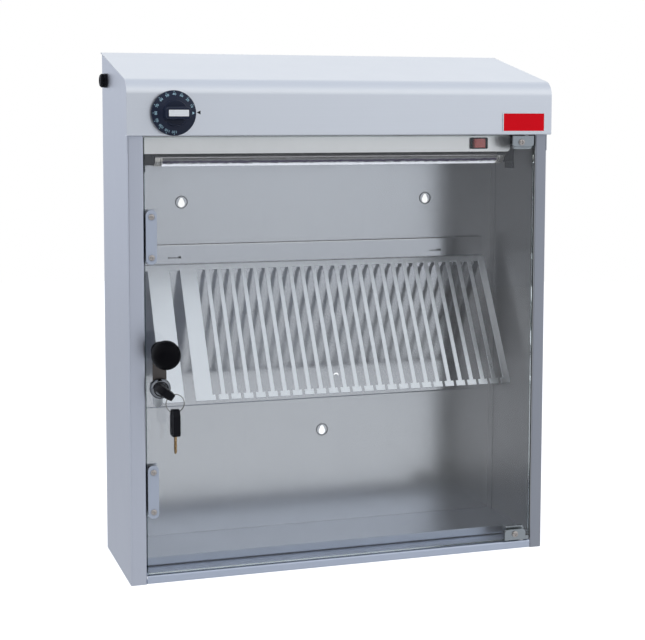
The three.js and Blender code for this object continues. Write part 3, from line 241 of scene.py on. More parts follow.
def edit_all(piece):
    """Goes to edit mode with all of a piece selected."""
    choose(piece)
    bpy.ops.object.mode_set(mode="EDIT")
    bpy.ops.mesh.select_all(action="SELECT")


def stop_editing():
    bpy.ops.object.mode_set(mode="OBJECT")


def choose(piece):
    deselect()
    piece.select_set(True)
    bpy.context.view_layer.objects.active = piece


def settle(piece):
    """Puts the piece's place, turn and scale into its mesh."""
    choose(piece)
    bpy.ops.object.transform_apply(location=True, rotation=True, scale=True)


def apply_modifier(piece, kind, **settings):
    choose(piece)
    modifier = piece.modifiers.new(kind.lower(), kind)
    for name, value in settings.items():
        setattr(modifier, name, value)
    bpy.ops.object.modifier_apply(modifier=modifier.name)


def shade(piece, angle=42):
    """Smooth shading across small angles, with flat faces left flat."""
    choose(piece)
    bpy.ops.object.shade_smooth_by_angle(angle=math.radians(angle))
    apply_modifier(piece, "WEIGHTED_NORMAL", mode="FACE_AREA", weight=50, keep_sharp=True)


def soften(piece, width, segments=2, angle=30):
    """A small round on every sharp edge, and smooth shading over it."""
    apply_modifier(
        piece,
        "BEVEL",
        width=width * MM,
        segments=segments,
        limit_method="ANGLE",
        angle_limit=math.radians(angle),
    )
    shade(piece)
    return piece


def outward(piece):
    edit_all(piece)
    bpy.ops.mesh.remove_doubles(threshold=0.000002)
    bpy.ops.mesh.normals_make_consistent(inside=False)
    stop_editing()


def turned(name, rings, place, turn=TOWARDS_FRONT, sides=64, through=False):
    """A round piece, extruded ring by ring from (radius, height) pairs in millimetres.
    A piece with a hole right through ends on its first ring."""
    deselect()
    bpy.ops.mesh.primitive_circle_add(
        vertices=sides,
        radius=rings[0][0] * MM,
        fill_type="NOTHING" if through else "NGON",
        location=(0, 0, rings[0][1] * MM),
    )
    piece = bpy.context.object
    piece.name = name
    settle(piece)
    edit_all(piece)
    for (near, low), (far, high) in zip(rings, rings[1:]):
        bpy.ops.mesh.extrude_region_move(TRANSFORM_OT_translate={"value": (0, 0, (high - low) * MM)})
        bpy.ops.transform.resize(value=(far / near, far / near, 1), center_override=(0, 0, 0))
    stop_editing()
    outward(piece)
    piece.rotation_euler = turn
    piece.location = place
    settle(piece)
    return piece


def curved(points, steps=5):
    """Rings on a smooth curve through a few (radius, height) points."""
    rings = []
    last = len(points) - 1
    for i in range(last):
        before, start, end, after = (Vector(points[min(max(k, 0), last)]) for k in range(i - 1, i + 3))
        for k in range(steps):
            t = k / steps
            rings.append(
                0.5
                * (
                    2 * start
                    + (end - before) * t
                    + (2 * before - 5 * start + 4 * end - after) * t ** 2
                    + (3 * start - before - 3 * end + after) * t ** 3
                )
            )
    rings.append(Vector(points[-1]))
    return rings


def block(name, centre, half_x, half_z, near, far):
    """A block that stands round a place in X and Z, between two depths."""
    half = Vector((half_x, 0, half_z))
    low, high = centre - half, centre + half
    low.y, high.y = near, far
    return slab(name, low, high)


def slab(name, low, high):
    """A block between two corners."""
    deselect()
    bpy.ops.mesh.primitive_cube_add(size=1, location=(Vector(low) + Vector(high)) / 2)
    piece = bpy.context.object
    piece.name = name
    piece.scale = Vector(high) - Vector(low)
    settle(piece)
    return piece


def clear_picks(piece):
    choose(piece)
    for group in (piece.data.polygons, piece.data.edges, piece.data.vertices):
        for item in group:
            item.select = False


def pick_edges(piece, wanted):
    """Selects the edges whose two ends pass the test, and goes to edit mode."""
    clear_picks(piece)
    bpy.context.tool_settings.mesh_select_mode = (False, True, False)
    vertices = piece.data.vertices
    for edge in piece.data.edges:
        a, b = (vertices[i] for i in edge.vertices)
        if wanted(a.co, b.co):
            edge.select = True
            a.select = True
            b.select = True
    bpy.ops.object.mode_set(mode="EDIT")


def pick_faces(piece, wanted):
    """Selects the faces that pass the test, and goes to edit mode."""
    clear_picks(piece)
    bpy.context.tool_settings.mesh_select_mode = (False, False, True)
    for face in piece.data.polygons:
        face.select = wanted(face)
    bpy.ops.object.mode_set(mode="EDIT")


def round_edges(piece, wanted, radius, segments):
    pick_edges(piece, wanted)
    bpy.ops.mesh.bevel(offset=radius * MM, segments=segments, affect="EDGES", clamp_overlap=True)
    stop_editing()


def along(axis):
    """A test for edges that run along one axis."""
    others = [i for i in range(3) if i != axis]
    return lambda a, b: all(abs(a[i] - b[i]) < 1e-7 for i in others)


def round_corners(piece, axis, radius, segments=8):
    """Rounds the long edges that run along one axis."""
    round_edges(piece, along(axis), radius, segments)


def draw_out(piece, wanted, step):
    """Extrudes the chosen edges by a step."""
    pick_edges(piece, wanted)
    bpy.ops.mesh.extrude_region_move(TRANSFORM_OT_translate={"value": step})
    stop_editing()


def combine(piece, tool, operation):
    """Joins the tool to the piece or cuts it out, and removes the tool."""
    apply_modifier(piece, "BOOLEAN", operation=operation, solver="EXACT", object=tool)
    bpy.data.objects.remove(tool, do_unlink=True)


def carve(piece, tool):
    combine(piece, tool, "DIFFERENCE")


def fuse(piece, *tools):
    for tool in tools:
        combine(piece, tool, "UNION")


def drill(piece, place, radius, turn=TOWARDS_FRONT, reach=20, sides=48):
    deselect()
    bpy.ops.mesh.primitive_cylinder_add(
        vertices=sides, radius=radius * MM, depth=reach * MM, location=place, rotation=turn
    )
    carve(piece, bpy.context.object)


def weld(name, pieces):
    """Makes one object of several."""
    deselect()
    for piece in pieces:
        piece.select_set(True)
    bpy.context.view_layer.objects.active = pieces[0]
    bpy.ops.object.join()
    pieces[0].name = name
    return pieces[0]


def attach(piece, finish, beside):
    """Gives an added detail its material, and the body of the solid that carries it."""
    piece.data.materials.clear()
    piece.data.materials.append(finish)
    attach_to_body(piece, BODY_OF[beside])


def present(piece, finish, *nodes):
    """Gives a finished piece its material and the body of its first solid, and hides the solids it stands
    for.
    """
    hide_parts(*nodes)
    attach(piece, finish, nodes[0])


def redress(node, finish, width, segments=2):
    """Shows a solid as it is, with its sharp edges rounded."""
    piece = dressed(node, width, segments)
    present(piece, finish, node)
    return piece


def dressed(node, width, segments=2):
    """A copy of a folded or cut solid with its facets merged and its sharp edges rounded."""
    piece = bpy.data.objects.new("dressed_" + node, frame["nodes"][node].data.copy())
    bpy.context.scene.collection.objects.link(piece)
    choose(piece)
    bpy.ops.mesh.customdata_custom_splitnormals_clear()
    edit_all(piece)
    bpy.ops.mesh.remove_doubles(threshold=0.000002)
    bpy.ops.mesh.dissolve_limited(angle_limit=math.radians(0.5))
    stop_editing()
    return soften(piece, width, segments)


# Shared shader groups

def new_group(name, special, kind):
    """A group that takes a place, an input of its own, a roughness and how much that varies."""
    group = bpy.data.node_groups.new(name, "ShaderNodeTree")
    for label, sort in (("Vector", "Vector"), (special, kind), ("Roughness", "Float"), ("Spread", "Float")):
        group.interface.new_socket(name=label, in_out="INPUT", socket_type="NodeSocket" + sort)
    for label in ("Shade", "Roughness", "Height"):
        group.interface.new_socket(name=label, in_out="OUTPUT", socket_type="NodeSocketFloat")
    return group, group.nodes.new("NodeGroupInput"), group.nodes.new("NodeGroupOutput")


def preset(node, **values):
    """Sets a node's sockets, whose names have _ for each space here."""
    for name, value in values.items():
        node.inputs[name.replace("_", " ")].default_value = value


def add_noise(tree, source, scale, detail, rough=0.5):
    noise = tree.nodes.new("ShaderNodeTexNoise")
    preset(noise, Scale=scale, Detail=detail, Roughness=rough)
    tree.links.new(source, noise.inputs["Vector"])
    return noise.outputs["Fac"]


def build_sheet_grain():
    """Rolled or brushed sheet: fine streaks along the stretched axis, slow clouds and faint smears."""
    group, source, target = new_group("sheet_grain", "Streak", "Vector")
    spread = source.outputs["Spread"]
    streak = add_noise(group, source.outputs["Streak"], 1.0, 4, 0.65)
    cloud = add_noise(group, source.outputs["Vector"], 9.0, 3, 0.5)
    smear = add_noise(group, source.outputs["Vector"], 30.0, 5, 0.7)
    fine = reckon(group, "MULTIPLY", reckon(group, "SUBTRACT", streak, 0.5), 0.7)
    slow = reckon(group, "MULTIPLY", reckon(group, "SUBTRACT", cloud, 0.5), 0.6)
    both = reckon(group, "MULTIPLY", reckon(group, "ADD", fine, slow), spread)
    marks = reckon(group, "MULTIPLY", reckon(group, "SUBTRACT", smear, 0.5), 0.12)
    group.links.new(reckon(group, "ADD", both, 1.0), target.inputs["Shade"])
    rough = reckon(group, "ADD", reckon(group, "ADD", both, marks), source.outputs["Roughness"], clamp=True)
    group.links.new(rough, target.inputs["Roughness"])
    group.links.new(streak, target.inputs["Height"])
    return group


def build_moulded_skin():
    """Moulded plastic or paint: a fine pebbled skin, and faint handling marks in its gloss."""
    group, source, target = new_group("moulded_skin", "Size", "Float")
    skin = group.nodes.new("ShaderNodeTexNoise")
    skin.inputs["Detail"].default_value = 3
    group.links.new(source.outputs["Vector"], skin.inputs["Vector"])
    group.links.new(source.outputs["Size"], skin.inputs["Scale"])
    marks = add_noise(group, source.outputs["Vector"], 60.0, 4, 0.6)
    change = reckon(group, "MULTIPLY", reckon(group, "SUBTRACT", marks, 0.5), source.outputs["Spread"])
    group.links.new(reckon(group, "ADD", change, 1.0), target.inputs["Shade"])
    rough = reckon(group, "ADD", change, source.outputs["Roughness"], clamp=True)
    group.links.new(rough, target.inputs["Roughness"])
    group.links.new(skin.outputs["Fac"], target.inputs["Height"])
    return group


SHEET_GRAIN = build_sheet_grain()
MOULDED_SKIN = build_moulded_skin()


def start_material(name):
    finish = bpy.data.materials.new(name)
    finish.use_nodes = True
    tree = finish.node_tree
    place = tree.nodes.new("ShaderNodeTexCoord")
    return finish, tree, tree.nodes["Principled BSDF"], place.outputs["Object"]


def shaded(tree, colour, shade_value):
    """A colour made a little lighter or darker by a value around 1."""
    tint = tree.nodes.new("ShaderNodeVectorMath")
    tint.operation = "SCALE"
    tint.inputs[0].default_value = colour
    tree.links.new(shade_value, tint.inputs["Scale"])
    return tint.outputs[0]


def add_bump(tree, shader, height, strength, distance):
    dent = tree.nodes.new("ShaderNodeBump")
    preset(dent, Strength=strength, Distance=distance)
    tree.links.new(height, dent.inputs["Height"])
    tree.links.new(dent.outputs[0], shader.inputs["Normal"])


def grained(name, pattern, colour, roughness, spread, bump, depth):
    """A material whose colour, gloss and fine relief follow one of the shared groups."""
    finish, tree, shader, place = start_material(name)
    grain = tree.nodes.new("ShaderNodeGroup")
    grain.node_tree = pattern
    preset(grain, Roughness=roughness, Spread=spread)
    tree.links.new(place, grain.inputs["Vector"])
    tree.links.new(shaded(tree, colour, grain.outputs["Shade"]), shader.inputs["Base Color"])
    tree.links.new(grain.outputs["Roughness"], shader.inputs["Roughness"])
    add_bump(tree, shader, grain.outputs["Height"], bump, depth)
    return finish, shader, place, grain


def stretched(tree, place, scale):
    """A place whose three axes are scaled, so that a pattern on it becomes streaks."""
    stretch = tree.nodes.new("ShaderNodeMapping")
    preset(stretch, Scale=scale)
    tree.links.new(place, stretch.inputs["Vector"])
    return stretch.outputs[0]


def sheet_metal(name, colour, streak, roughness, spread=0.12, bump=0.03):
    """Steel sheet; streak is how fast the grain changes along X, Y and Z."""
    finish, shader, place, grain = grained(name, SHEET_GRAIN, colour, roughness, spread, bump, 0.0004)
    tree = finish.node_tree
    tree.links.new(stretched(tree, place, streak), grain.inputs["Streak"])
    preset(shader, Metallic=1)
    return finish


def moulded(name, colour, roughness, size=2500, spread=0.12, bump=0.05, metallic=0.0, coat=0.0, gloss=0.5):
    finish, shader, _, skin = grained(name, MOULDED_SKIN, colour, roughness, spread, bump, 0.0002)
    preset(skin, Size=size)
    preset(shader, Metallic=metallic, Coat_Weight=coat, Specular_IOR_Level=gloss)
    return finish


def door_pane():
    """Clear toughened glass whose ground edges look green, with faint smears."""
    finish, tree, shader, place = start_material("door_pane")
    low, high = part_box("door_glass")
    rim = 0.2 * MM
    parts = tree.nodes.new("ShaderNodeSeparateXYZ")
    tree.links.new(place, parts.inputs[0])
    masks = []
    for axis, near, far in (("X", low.x, high.x), ("Z", low.z, high.z)):
        centred = reckon(tree, "SUBTRACT", parts.outputs[axis], (near + far) / 2)
        away = reckon(tree, "ABSOLUTE", centred)
        masks.append(reckon(tree, "GREATER_THAN", away, (far - near) / 2 - rim))
    tint = tree.nodes.new("ShaderNodeMixRGB")
    preset(tint, Color1=(0.985, 0.995, 0.99, 1), Color2=(0.25, 0.52, 0.44, 1))
    tree.links.new(reckon(tree, "MAXIMUM", *masks), tint.inputs["Fac"])
    tree.links.new(tint.outputs[0], shader.inputs["Base Color"])
    dull = rescale(tree, add_noise(tree, place, 14, 4), 0.55, 0.8, 0, 0.03)
    tree.links.new(dull, shader.inputs["Roughness"])
    preset(shader, Transmission_Weight=1, IOR=1.45)
    return finish


def quartz():
    """The lamp's tube: clear glass with a painted highlight along its foot that also glows faintly, purple
    streaks above it, and painted shade higher up.
    """
    finish, tree, shader, place = start_material("quartz_tube")
    low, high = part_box("lamp_tube")
    parts = tree.nodes.new("ShaderNodeSeparateXYZ")
    tree.links.new(place, parts.inputs[0])
    rise = rescale(tree, parts.outputs["Z"], low.z, high.z)
    waves = add_noise(tree, stretched(tree, place, (110, 300, 300)), 1.0, 3)
    wander = reckon(tree, "MULTIPLY_ADD", waves, 0.12, rise)
    # The pale stops paint a highlight along the tube's foot; the grey-brown stops above paint shade.
    pale, purple = (0.98, 0.98, 1.0), (0.16, 0.12, 0.24)
    stops = [(0.10, pale), (0.19, pale), (0.22, purple), (0.29, purple)]
    stops += [(0.33, (0.62, 0.60, 0.62)), (0.42, (0.30, 0.27, 0.25)), (1.0, (0.40, 0.38, 0.38))]
    painted_highlight_and_shade_bands = ramp(tree, wander, stops)
    dull = rescale(tree, add_noise(tree, place, 90, 2), 0, 1, 0.02, 0.14)
    tree.links.new(dull, shader.inputs["Roughness"])
    tree.links.new(painted_highlight_and_shade_bands, shader.inputs["Base Color"])
    # The painted highlight also glows faintly through the emission.
    painted_highlight_glow = reckon(tree, "MULTIPLY", reckon(tree, "LESS_THAN", wander, 0.17), 0.3)
    tree.links.new(painted_highlight_glow, shader.inputs["Emission Strength"])
    preset(shader, Emission_Color=(0.90, 0.93, 1, 1), Transmission_Weight=0.35, IOR=1.46)
    return finish


HOOD_STEEL = sheet_metal("hood_steel", (0.82, 0.845, 0.885), (6, 900, 900), 0.40, 0.06, 0.02)
BODY_STEEL = sheet_metal("body_steel", (0.62, 0.645, 0.715), (900, 900, 8), 0.38, 0.07, 0.02)
# Painted shade: a darker copy of the body steel for the shadowed right side panel and the back panel's side
# flanges.
PAINTED_SHADE_STEEL = sheet_metal("painted_shade_steel", (0.46, 0.455, 0.455), (900, 900, 8), 0.38, 0.12, 0.01)
# Painted shade: a darker copy of the body steel for the right stile's front.
SHADED_STILE_STEEL = sheet_metal("shaded_stile_steel", (0.375, 0.39, 0.43), (900, 900, 8), 0.38, 0.08, 0.01)
RAIL_STEEL = sheet_metal("rail_steel", (0.58, 0.63, 0.73), (6, 900, 900), 0.36, 0.07, 0.02)
LIP_STEEL = sheet_metal("lip_steel", (0.56, 0.60, 0.69), (6, 900, 900), 0.36, 0.07, 0.02)
FASCIA_STEEL = sheet_metal("fascia_steel", (0.94, 0.915, 0.88), (6, 900, 900), 0.30, 0.06, 0.02)
BACK_STEEL = sheet_metal("back_steel", (0.69, 0.69, 0.705), (500, 500, 30), 0.24, 0.08, 0.006)
PRESSED_STEEL = sheet_metal("pressed_steel", (0.30, 0.30, 0.31), (300, 300, 40), 0.3, 0.2, 0.03)
RACK_STEEL = sheet_metal("rack_steel", (0.65, 0.65, 0.665), (500, 500, 30), 0.15, 0.06, 0.004)
# Painted highlight: a near-white bluish tone stands in for the sky light on the comb's upturned bars; the
# lock cam uses it too.
COMB_STEEL = sheet_metal("comb_steel", (0.95, 0.97, 1.0), (900, 60, 60), 0.30, 0.05, 0.01)
BRIGHT_METAL = sheet_metal("bright_metal", (0.66, 0.67, 0.70), (500, 500, 500), 0.16, 0.08, 0.01)
CLAMP_METAL = sheet_metal("clamp_metal", (0.37, 0.40, 0.415), (500, 500, 500), 0.3, 0.1, 0.02)
SCREW_METAL = sheet_metal("screw_metal", (0.52, 0.48, 0.45), (500, 500, 500), 0.3, 0.15, 0.02)
# Painted reflection: a dark base colour stands in for the dark surroundings that the chrome of the lock
# housing and plug reflects.
LOCK_CHROME = sheet_metal("lock_chrome", (0.21, 0.22, 0.235), (500, 500, 500), 0.08, 0.12, 0.01)
RING_STEEL = sheet_metal("ring_steel", (0.28, 0.27, 0.25), (900, 900, 900), 0.26, 0.2, 0.02)
CAP_METAL = sheet_metal("cap_metal", (0.66, 0.63, 0.58), (700, 60, 60), 0.26, 0.15, 0.02)
MIRROR_METAL = sheet_metal("mirror_metal", (0.62, 0.60, 0.60), (5, 600, 600), 0.14, 0.08, 0.01)
KEY_BRASS = sheet_metal("key_brass", (0.42, 0.27, 0.12), (900, 900, 60), 0.34, 0.25, 0.05)
BLACK_MOULDING = moulded("black_moulding", (0.004, 0.004, 0.006), 0.36, 2600, 0.25, 0.06, gloss=0.12)
KNOB_MOULDING = moulded("knob_moulding", (0.002, 0.002, 0.003), 0.42, 2600, 0.2, 0.04, gloss=0.06)
DIAL_MOULDING = moulded("dial_moulding", (0.002, 0.007, 0.026), 0.38, 2600, 0.25, 0.06, gloss=0.36)
WHITE_MOULDING = moulded("white_moulding", (0.80, 0.80, 0.77), 0.5, 1800, 0.06, 0.05)
HOLDER_MOULDING = moulded("holder_moulding", (0.07, 0.07, 0.075), 0.45, 1800, 0.15, 0.05, gloss=0.3)
INSERT_WHITE = moulded("insert_white", (0.70, 0.72, 0.73), 0.45, 1800, 0.06, 0.03)
RED_ROCKER = moulded("red_rocker", (0.95, 0.20, 0.17), 0.28, 1200, 0.2, 0.03, coat=0.4)
RED_FILM = moulded("red_film", (0.62, 0.001, 0.008), 0.45, 900, 0.15, 0.03, gloss=0.08)
BADGE_FRAME = moulded("badge_frame", (0.62, 0.70, 0.74), 0.4, 900, 0.1, 0.03)
LILAC_COAT = moulded("lilac_coat", (0.38, 0.42, 0.50), 0.42, 1500, 0.1, 0.05, 0.2)
FERRITE = moulded("ferrite", (0.05, 0.05, 0.055), 0.65, 900, 0.3, 0.2)
BRONZE_COAT = moulded("bronze_coat", (0.10, 0.088, 0.082), 0.38, 1300, 0.2, 0.05, 0.6)
BALLAST_ENAMEL = moulded("ballast_enamel", (0.70, 0.70, 0.67), 0.5, 700, 0.1, 0.06)
PRINT_BLUE = moulded("print_blue", (0.36, 0.56, 0.66), 0.5, 900, 0.1, 0.02, gloss=0.3)
PRINT_BLACK = moulded("print_black", (0.01, 0.01, 0.012), 0.5, 900, 0.1, 0.02, gloss=0.3)
PANE = door_pane()
QUARTZ = quartz()


# Sheet metal body

SHEET = 1.2
BEND = 2.2


def lies_at(**places):
    """A test for edges whose two ends have the given coordinates."""

    def wanted(a, b):
        return all(abs(getattr(end, axis) - value) < 1e-6 for end in (a, b) for axis, value in places.items())

    return wanted


def thicken(piece, thickness, outside):
    """Gives an open sheet its thickness, laid on the inner side."""
    outward(piece)
    if max(piece.data.polygons, key=lambda face: face.area).normal.dot(outside) < 0:
        edit_all(piece)
        bpy.ops.mesh.flip_normals()
        stop_editing()
    apply_modifier(piece, "SOLIDIFY", thickness=thickness * MM, offset=-1, use_even_offset=True)


def make_hood():
    """One folded sheet: the return under the hood, its face, the round shoulder and the roof."""
    hood_return, shoulder_drop, shoulder_radius, notch = 38, 36.5, 18, 3
    low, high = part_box("hood_cover")
    rear = (hood_return - BODY_DEPTH) * MM
    shoulder = high.z - shoulder_drop * MM
    turn = math.pi / 2 - math.atan2(high.z - shoulder, high.y - low.y)
    deselect()
    bpy.ops.mesh.primitive_plane_add(size=1, location=(0, (low.y + rear) / 2, low.z))
    hood = bpy.context.object
    hood.name = "folded_hood"
    hood.scale = (high.x - low.x, rear - low.y, 1)
    settle(hood)
    draw_out(hood, lies_at(y=low.y, z=low.z), (0, 0, shoulder - low.z))
    draw_out(hood, lies_at(y=low.y, z=shoulder), (0, high.y - low.y, high.z - shoulder))
    round_edges(hood, lies_at(y=low.y, z=low.z), BEND, 5)
    round_edges(hood, lies_at(y=low.y, z=shoulder), shoulder_radius * math.tan(turn / 2), 20)
    thicken(hood, SHEET, Vector((0, -1, 1)))
    carve(hood, slab("trim", (-1, high.y, low.z - MM), (1, high.y + 0.01, high.z + 0.01)))
    for side in (-1, 1):
        outer = side * (high.x + MM)
        inner = side * (high.x - notch * MM)
        notch_low = (min(outer, inner), -BODY_DEPTH * MM - 0.3 * MM, low.z - MM)
        notch_high = (max(outer, inner), rear + MM, low.z + 1.5 * MM)
        carve(hood, slab("notch", notch_low, notch_high))
    pivot = middle("upper_hinge_pin")
    drill(hood, (pivot.x, pivot.y, low.z), 2.8, UPRIGHT, 10)
    dial = middle("timer_shaft")
    drill(hood, (dial.x, low.y, dial.z), 4, TOWARDS_FRONT, 10)
    soften(hood, 0.25)
    present(hood, HOOD_STEEL, "hood_cover")


def make_folded_parts():
    finishes = {
        "left_side_panel": BODY_STEEL,
        "right_side_panel": PAINTED_SHADE_STEEL,
        "back_panel": BACK_STEEL,
        "bottom_panel": RAIL_STEEL,
        "floor_lip": LIP_STEEL,
        "ceiling_panel": BACK_STEEL,
        "control_fascia": FASCIA_STEEL,
        "upper_strike_bracket": BODY_STEEL,
        "lower_strike_bracket": BODY_STEEL,
        "lamp_reflector": MIRROR_METAL,
        "rack_plate": RACK_STEEL,
        "rack_comb": COMB_STEEL,
        "lock_cam": COMB_STEEL,
    }
    for node, finish in finishes.items():
        piece = redress(node, finish, 0.2)
        if node == "back_panel":
            # The back panel's side flanges get the painted shade steel.
            refinish(piece, PAINTED_SHADE_STEEL, lambda face: abs(face.normal.x) > 0.7)
        if node == "right_side_panel":
            # The right stile's front faces get the painted shade of the stile steel.
            refinish(piece, SHADED_STILE_STEEL, lambda face: face.normal.y < -0.7)
        if node == "rack_comb":
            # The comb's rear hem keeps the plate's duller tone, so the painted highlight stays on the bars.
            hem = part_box(node)[1].y - 3 * MM
            refinish(piece, RACK_STEEL, lambda face: face.center.y > hem)


def refinish(piece, finish, wanted):
    """Gives the faces that pass the test a finish of their own."""
    piece.data.materials.append(finish)
    for face in piece.data.polygons:
        face.material_index = 1 if wanted(face) else 0


def make_hole_rims():
    """A pressed rim round each of the three pear-shaped holes in the back."""
    rim = [(6.5, 0), (8, 0), (8, 0.2), (7.7, 0.7), (7, 0.8), (6.6, 0.4), (6.5, 0)]
    holes = {"left": (-160, 421.5), "right": (160, 421.5), "lower": (21, 127.6)}
    for word, (x, height) in holes.items():
        ring = turned(word + "_hole_rim", rim, at(x, BODY_DEPTH - SHEET, height + 2), sides=48, through=True)
        shade(ring, 50)
        attach(ring, PRESSED_STEEL, "back_panel")


def make_badge():
    """The name plate, left bare: a red film in a thin pale frame."""
    low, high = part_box("badge_plate")
    frame_width, gap = 0.9 * MM, 0.05 * MM
    plate = slab("badge_frame", low, high)
    round_corners(plate, 1, 0.8, 4)
    film_low = Vector((low.x + frame_width, low.y, low.z + frame_width))
    film_high = Vector((high.x - frame_width, low.y + 0.25 * MM, high.z - frame_width))
    carve(plate, slab("film_bed", film_low - Vector((0, MM, 0)), film_high))
    soften(plate, 0.1)
    present(plate, BADGE_FRAME, "badge_plate")
    film = slab("badge_film", film_low + Vector((gap, 0.8 * gap, gap)), film_high - Vector((gap, 0, gap)))
    soften(film, 0.06)
    attach(film, RED_FILM, "badge_plate")


def make_gland():
    """A ribbed gland nut outside the wall, with its flange, and the hexagon nut inside."""
    axis = foot("cable_gland", TOWARDS_LEFT)
    reach = extent("cable_gland").x
    face = reach - 8
    rings = [(3.6, 0), (5.8, 0), (5.8, face), (8.4, face), (8.4, face + 2.6), (7.9, face + 3)]
    rings += [(7.4, face + 3.1), (7.4, reach - 1.6), (6.6, reach - 0.4), (5.4, reach), (3.6, reach), (3.6, 0)]
    gland = turned("ribbed_gland", rings, axis, TOWARDS_LEFT, 48, through=True)
    end = axis.x - reach * MM
    grip_low, grip_high = end + 1.6 * MM, end + 4.9 * MM
    rib_step = 15

    def on_a_rib(face):
        spoke = face.center - axis
        turn = math.degrees(math.atan2(spoke.z, spoke.y)) % rib_step
        outer = math.hypot(spoke.y, spoke.z) > 7 * MM
        return outer and grip_low < face.center.x < grip_high and turn < rib_step / 2

    pick_faces(gland, on_a_rib)
    bpy.ops.mesh.extrude_region_shrink_fatten(TRANSFORM_OT_shrink_fatten={"value": 0.6 * MM})
    stop_editing()
    soften(gland, 0.15)
    present(gland, BLACK_MOULDING, "cable_gland")
    redress("gland_nut", BLACK_MOULDING, 0.4)


# Timer, its dial and the printed scale

DIAL_EDGE = (24.2, 5.0)
DIAL_CONE = (15.0, 9.6)
PRINT = 0.12


def make_timer():
    redress("timer_body", WHITE_MOULDING, 1.2, 3)
    length = extent("timer_shaft").y
    rings = [(2.4, 0), (3, 0.6), (3, length - 0.6), (2.4, length)]
    shaft = turned("timer_spindle", rings, foot("timer_shaft"), sides=32)
    shade(shaft)
    present(shaft, BRIGHT_METAL, "timer_shaft")


def make_dial():
    """A skirted dial whose printed cone rises to a hub and a long grip bar."""
    low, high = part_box("timer_dial")
    centre = middle("timer_dial")
    axis = foot("timer_dial")
    rings = [(23.6, 0), (24.7, 0.5), (25, 1.2), (25, 4.0), (24.8, 4.6), DIAL_EDGE, DIAL_CONE]
    rings += [(14.6, 10.0), (14.4, 10.6), (14.2, 12.2), (13.8, 12.9), (13.0, 13.2)]
    dial = turned("skirted_dial", rings, axis, sides=96)
    grip_foot = high.y - 8 * MM
    grip = block("grip", centre, 13.5 * MM, 6.5 * MM, low.y, grip_foot)
    round_corners(grip, 1, 3.4, 8)
    round_edges(grip, lies_at(y=low.y), 1.5, 4)
    pick_faces(grip, lambda face: face.center.y > grip_foot - 0.1 * MM)
    bpy.ops.transform.resize(value=(1.0, 1, 1.12), center_override=tuple(centre))
    stop_editing()
    fuse(dial, grip)
    carve(dial, block("pocket", centre, 11.3 * MM, 3.8 * MM, low.y - MM, low.y + 1.4 * MM))
    bore = turned("bore", [(3.3, 0), (3.3, 12)], axis + Vector((0, MM, 0)), sides=32)
    carve(dial, bore)
    soften(dial, 0.3, 2, 35)
    present(dial, DIAL_MOULDING, "timer_dial")


def make_insert():
    """The pale insert in the grip, with three fine grooves along it."""
    low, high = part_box("timer_grip_insert")
    centre = middle("timer_grip_insert")
    front = low.y + 0.1 * MM
    insert = slab("grooved_insert", (low.x, front, low.z), high)
    round_corners(insert, 1, 0.6, 4)
    for lane in (-1, 0, 1):
        z = centre.z + lane * 1.65 * MM
        line = Vector((centre.x, front, z))
        half_length = (high.x - low.x) / 2 - 1.4 * MM
        carve(insert, block("groove", line, half_length, 0.16 * MM, front - MM, front + 0.35 * MM))
    soften(insert, 0.12)
    present(insert, INSERT_WHITE, "timer_grip_insert")


def on_the_cone(mark, angle, radius):
    """Lays a flat mark on the dial's printed cone, its top pointing outwards."""
    _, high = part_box("timer_dial")
    centre = middle("timer_dial")
    slope = math.atan2(DIAL_CONE[1] - DIAL_EDGE[1], DIAL_EDGE[0] - DIAL_CONE[0])
    height = DIAL_EDGE[1] + (DIAL_EDGE[0] - radius) * math.tan(slope)
    mark.rotation_euler = (math.pi / 2 - slope, math.pi / 2 - angle, 0)
    mark.location = (
        centre.x + radius * math.cos(angle) * MM,
        high.y - height * MM,
        centre.z + radius * math.sin(angle) * MM,
    )
    settle(mark)


def add_word(word, size, thickness):
    deselect()
    bpy.ops.object.text_add()
    text = bpy.context.object
    text.data.body = word
    text.data.size = size * MM
    text.data.extrude = thickness * MM
    text.data.resolution_u = 4
    text.data.align_x = "CENTER"
    text.data.align_y = "CENTER"
    bpy.ops.object.convert(target="MESH")
    return bpy.context.object


def flat_triangle(size, thickness):
    """A small arrowhead that points up in its own plane."""
    deselect()
    bpy.ops.mesh.primitive_cylinder_add(vertices=3, radius=size * MM, depth=2 * thickness * MM)
    return bpy.context.object


def make_dial_print():
    """Minutes up to 120 round the dial, a tick at each, and the arrow at rest."""
    digits_at, ticks_at = 20.6, 23.4
    marks = []
    for step in range(1, 13):
        angle = math.radians(22.5 * step)
        number = add_word(str(10 * step), 4.1, PRINT)
        number.data.name = "minutes_" + str(10 * step)
        on_the_cone(number, angle, digits_at)
        tick = slab("tick", (-0.28 * MM, -0.6 * MM, -PRINT * MM), (0.28 * MM, 0.6 * MM, PRINT * MM))
        on_the_cone(tick, angle, ticks_at)
        marks += [number, tick]
    arrow = flat_triangle(1.9, PRINT)
    on_the_cone(arrow, 0, digits_at + 0.4)
    printed = weld("dial_scale", [*marks, arrow])
    outward(printed)
    attach(printed, PRINT_BLUE, "timer_dial")

    low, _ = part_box("hood_cover")
    centre = middle("timer_dial")
    mark = flat_triangle(2.9, PRINT)
    mark.rotation_euler = (math.pi / 2, -math.pi / 2, 0)
    mark.scale = (0.85, 1, 1)
    mark.location = (centre.x + 29.6 * MM, low.y - PRINT * MM, centre.z + 0.6 * MM)
    mark.name = "timer_zero_mark"
    settle(mark)
    attach(mark, PRINT_BLACK, "hood_cover")


# Rocker switch

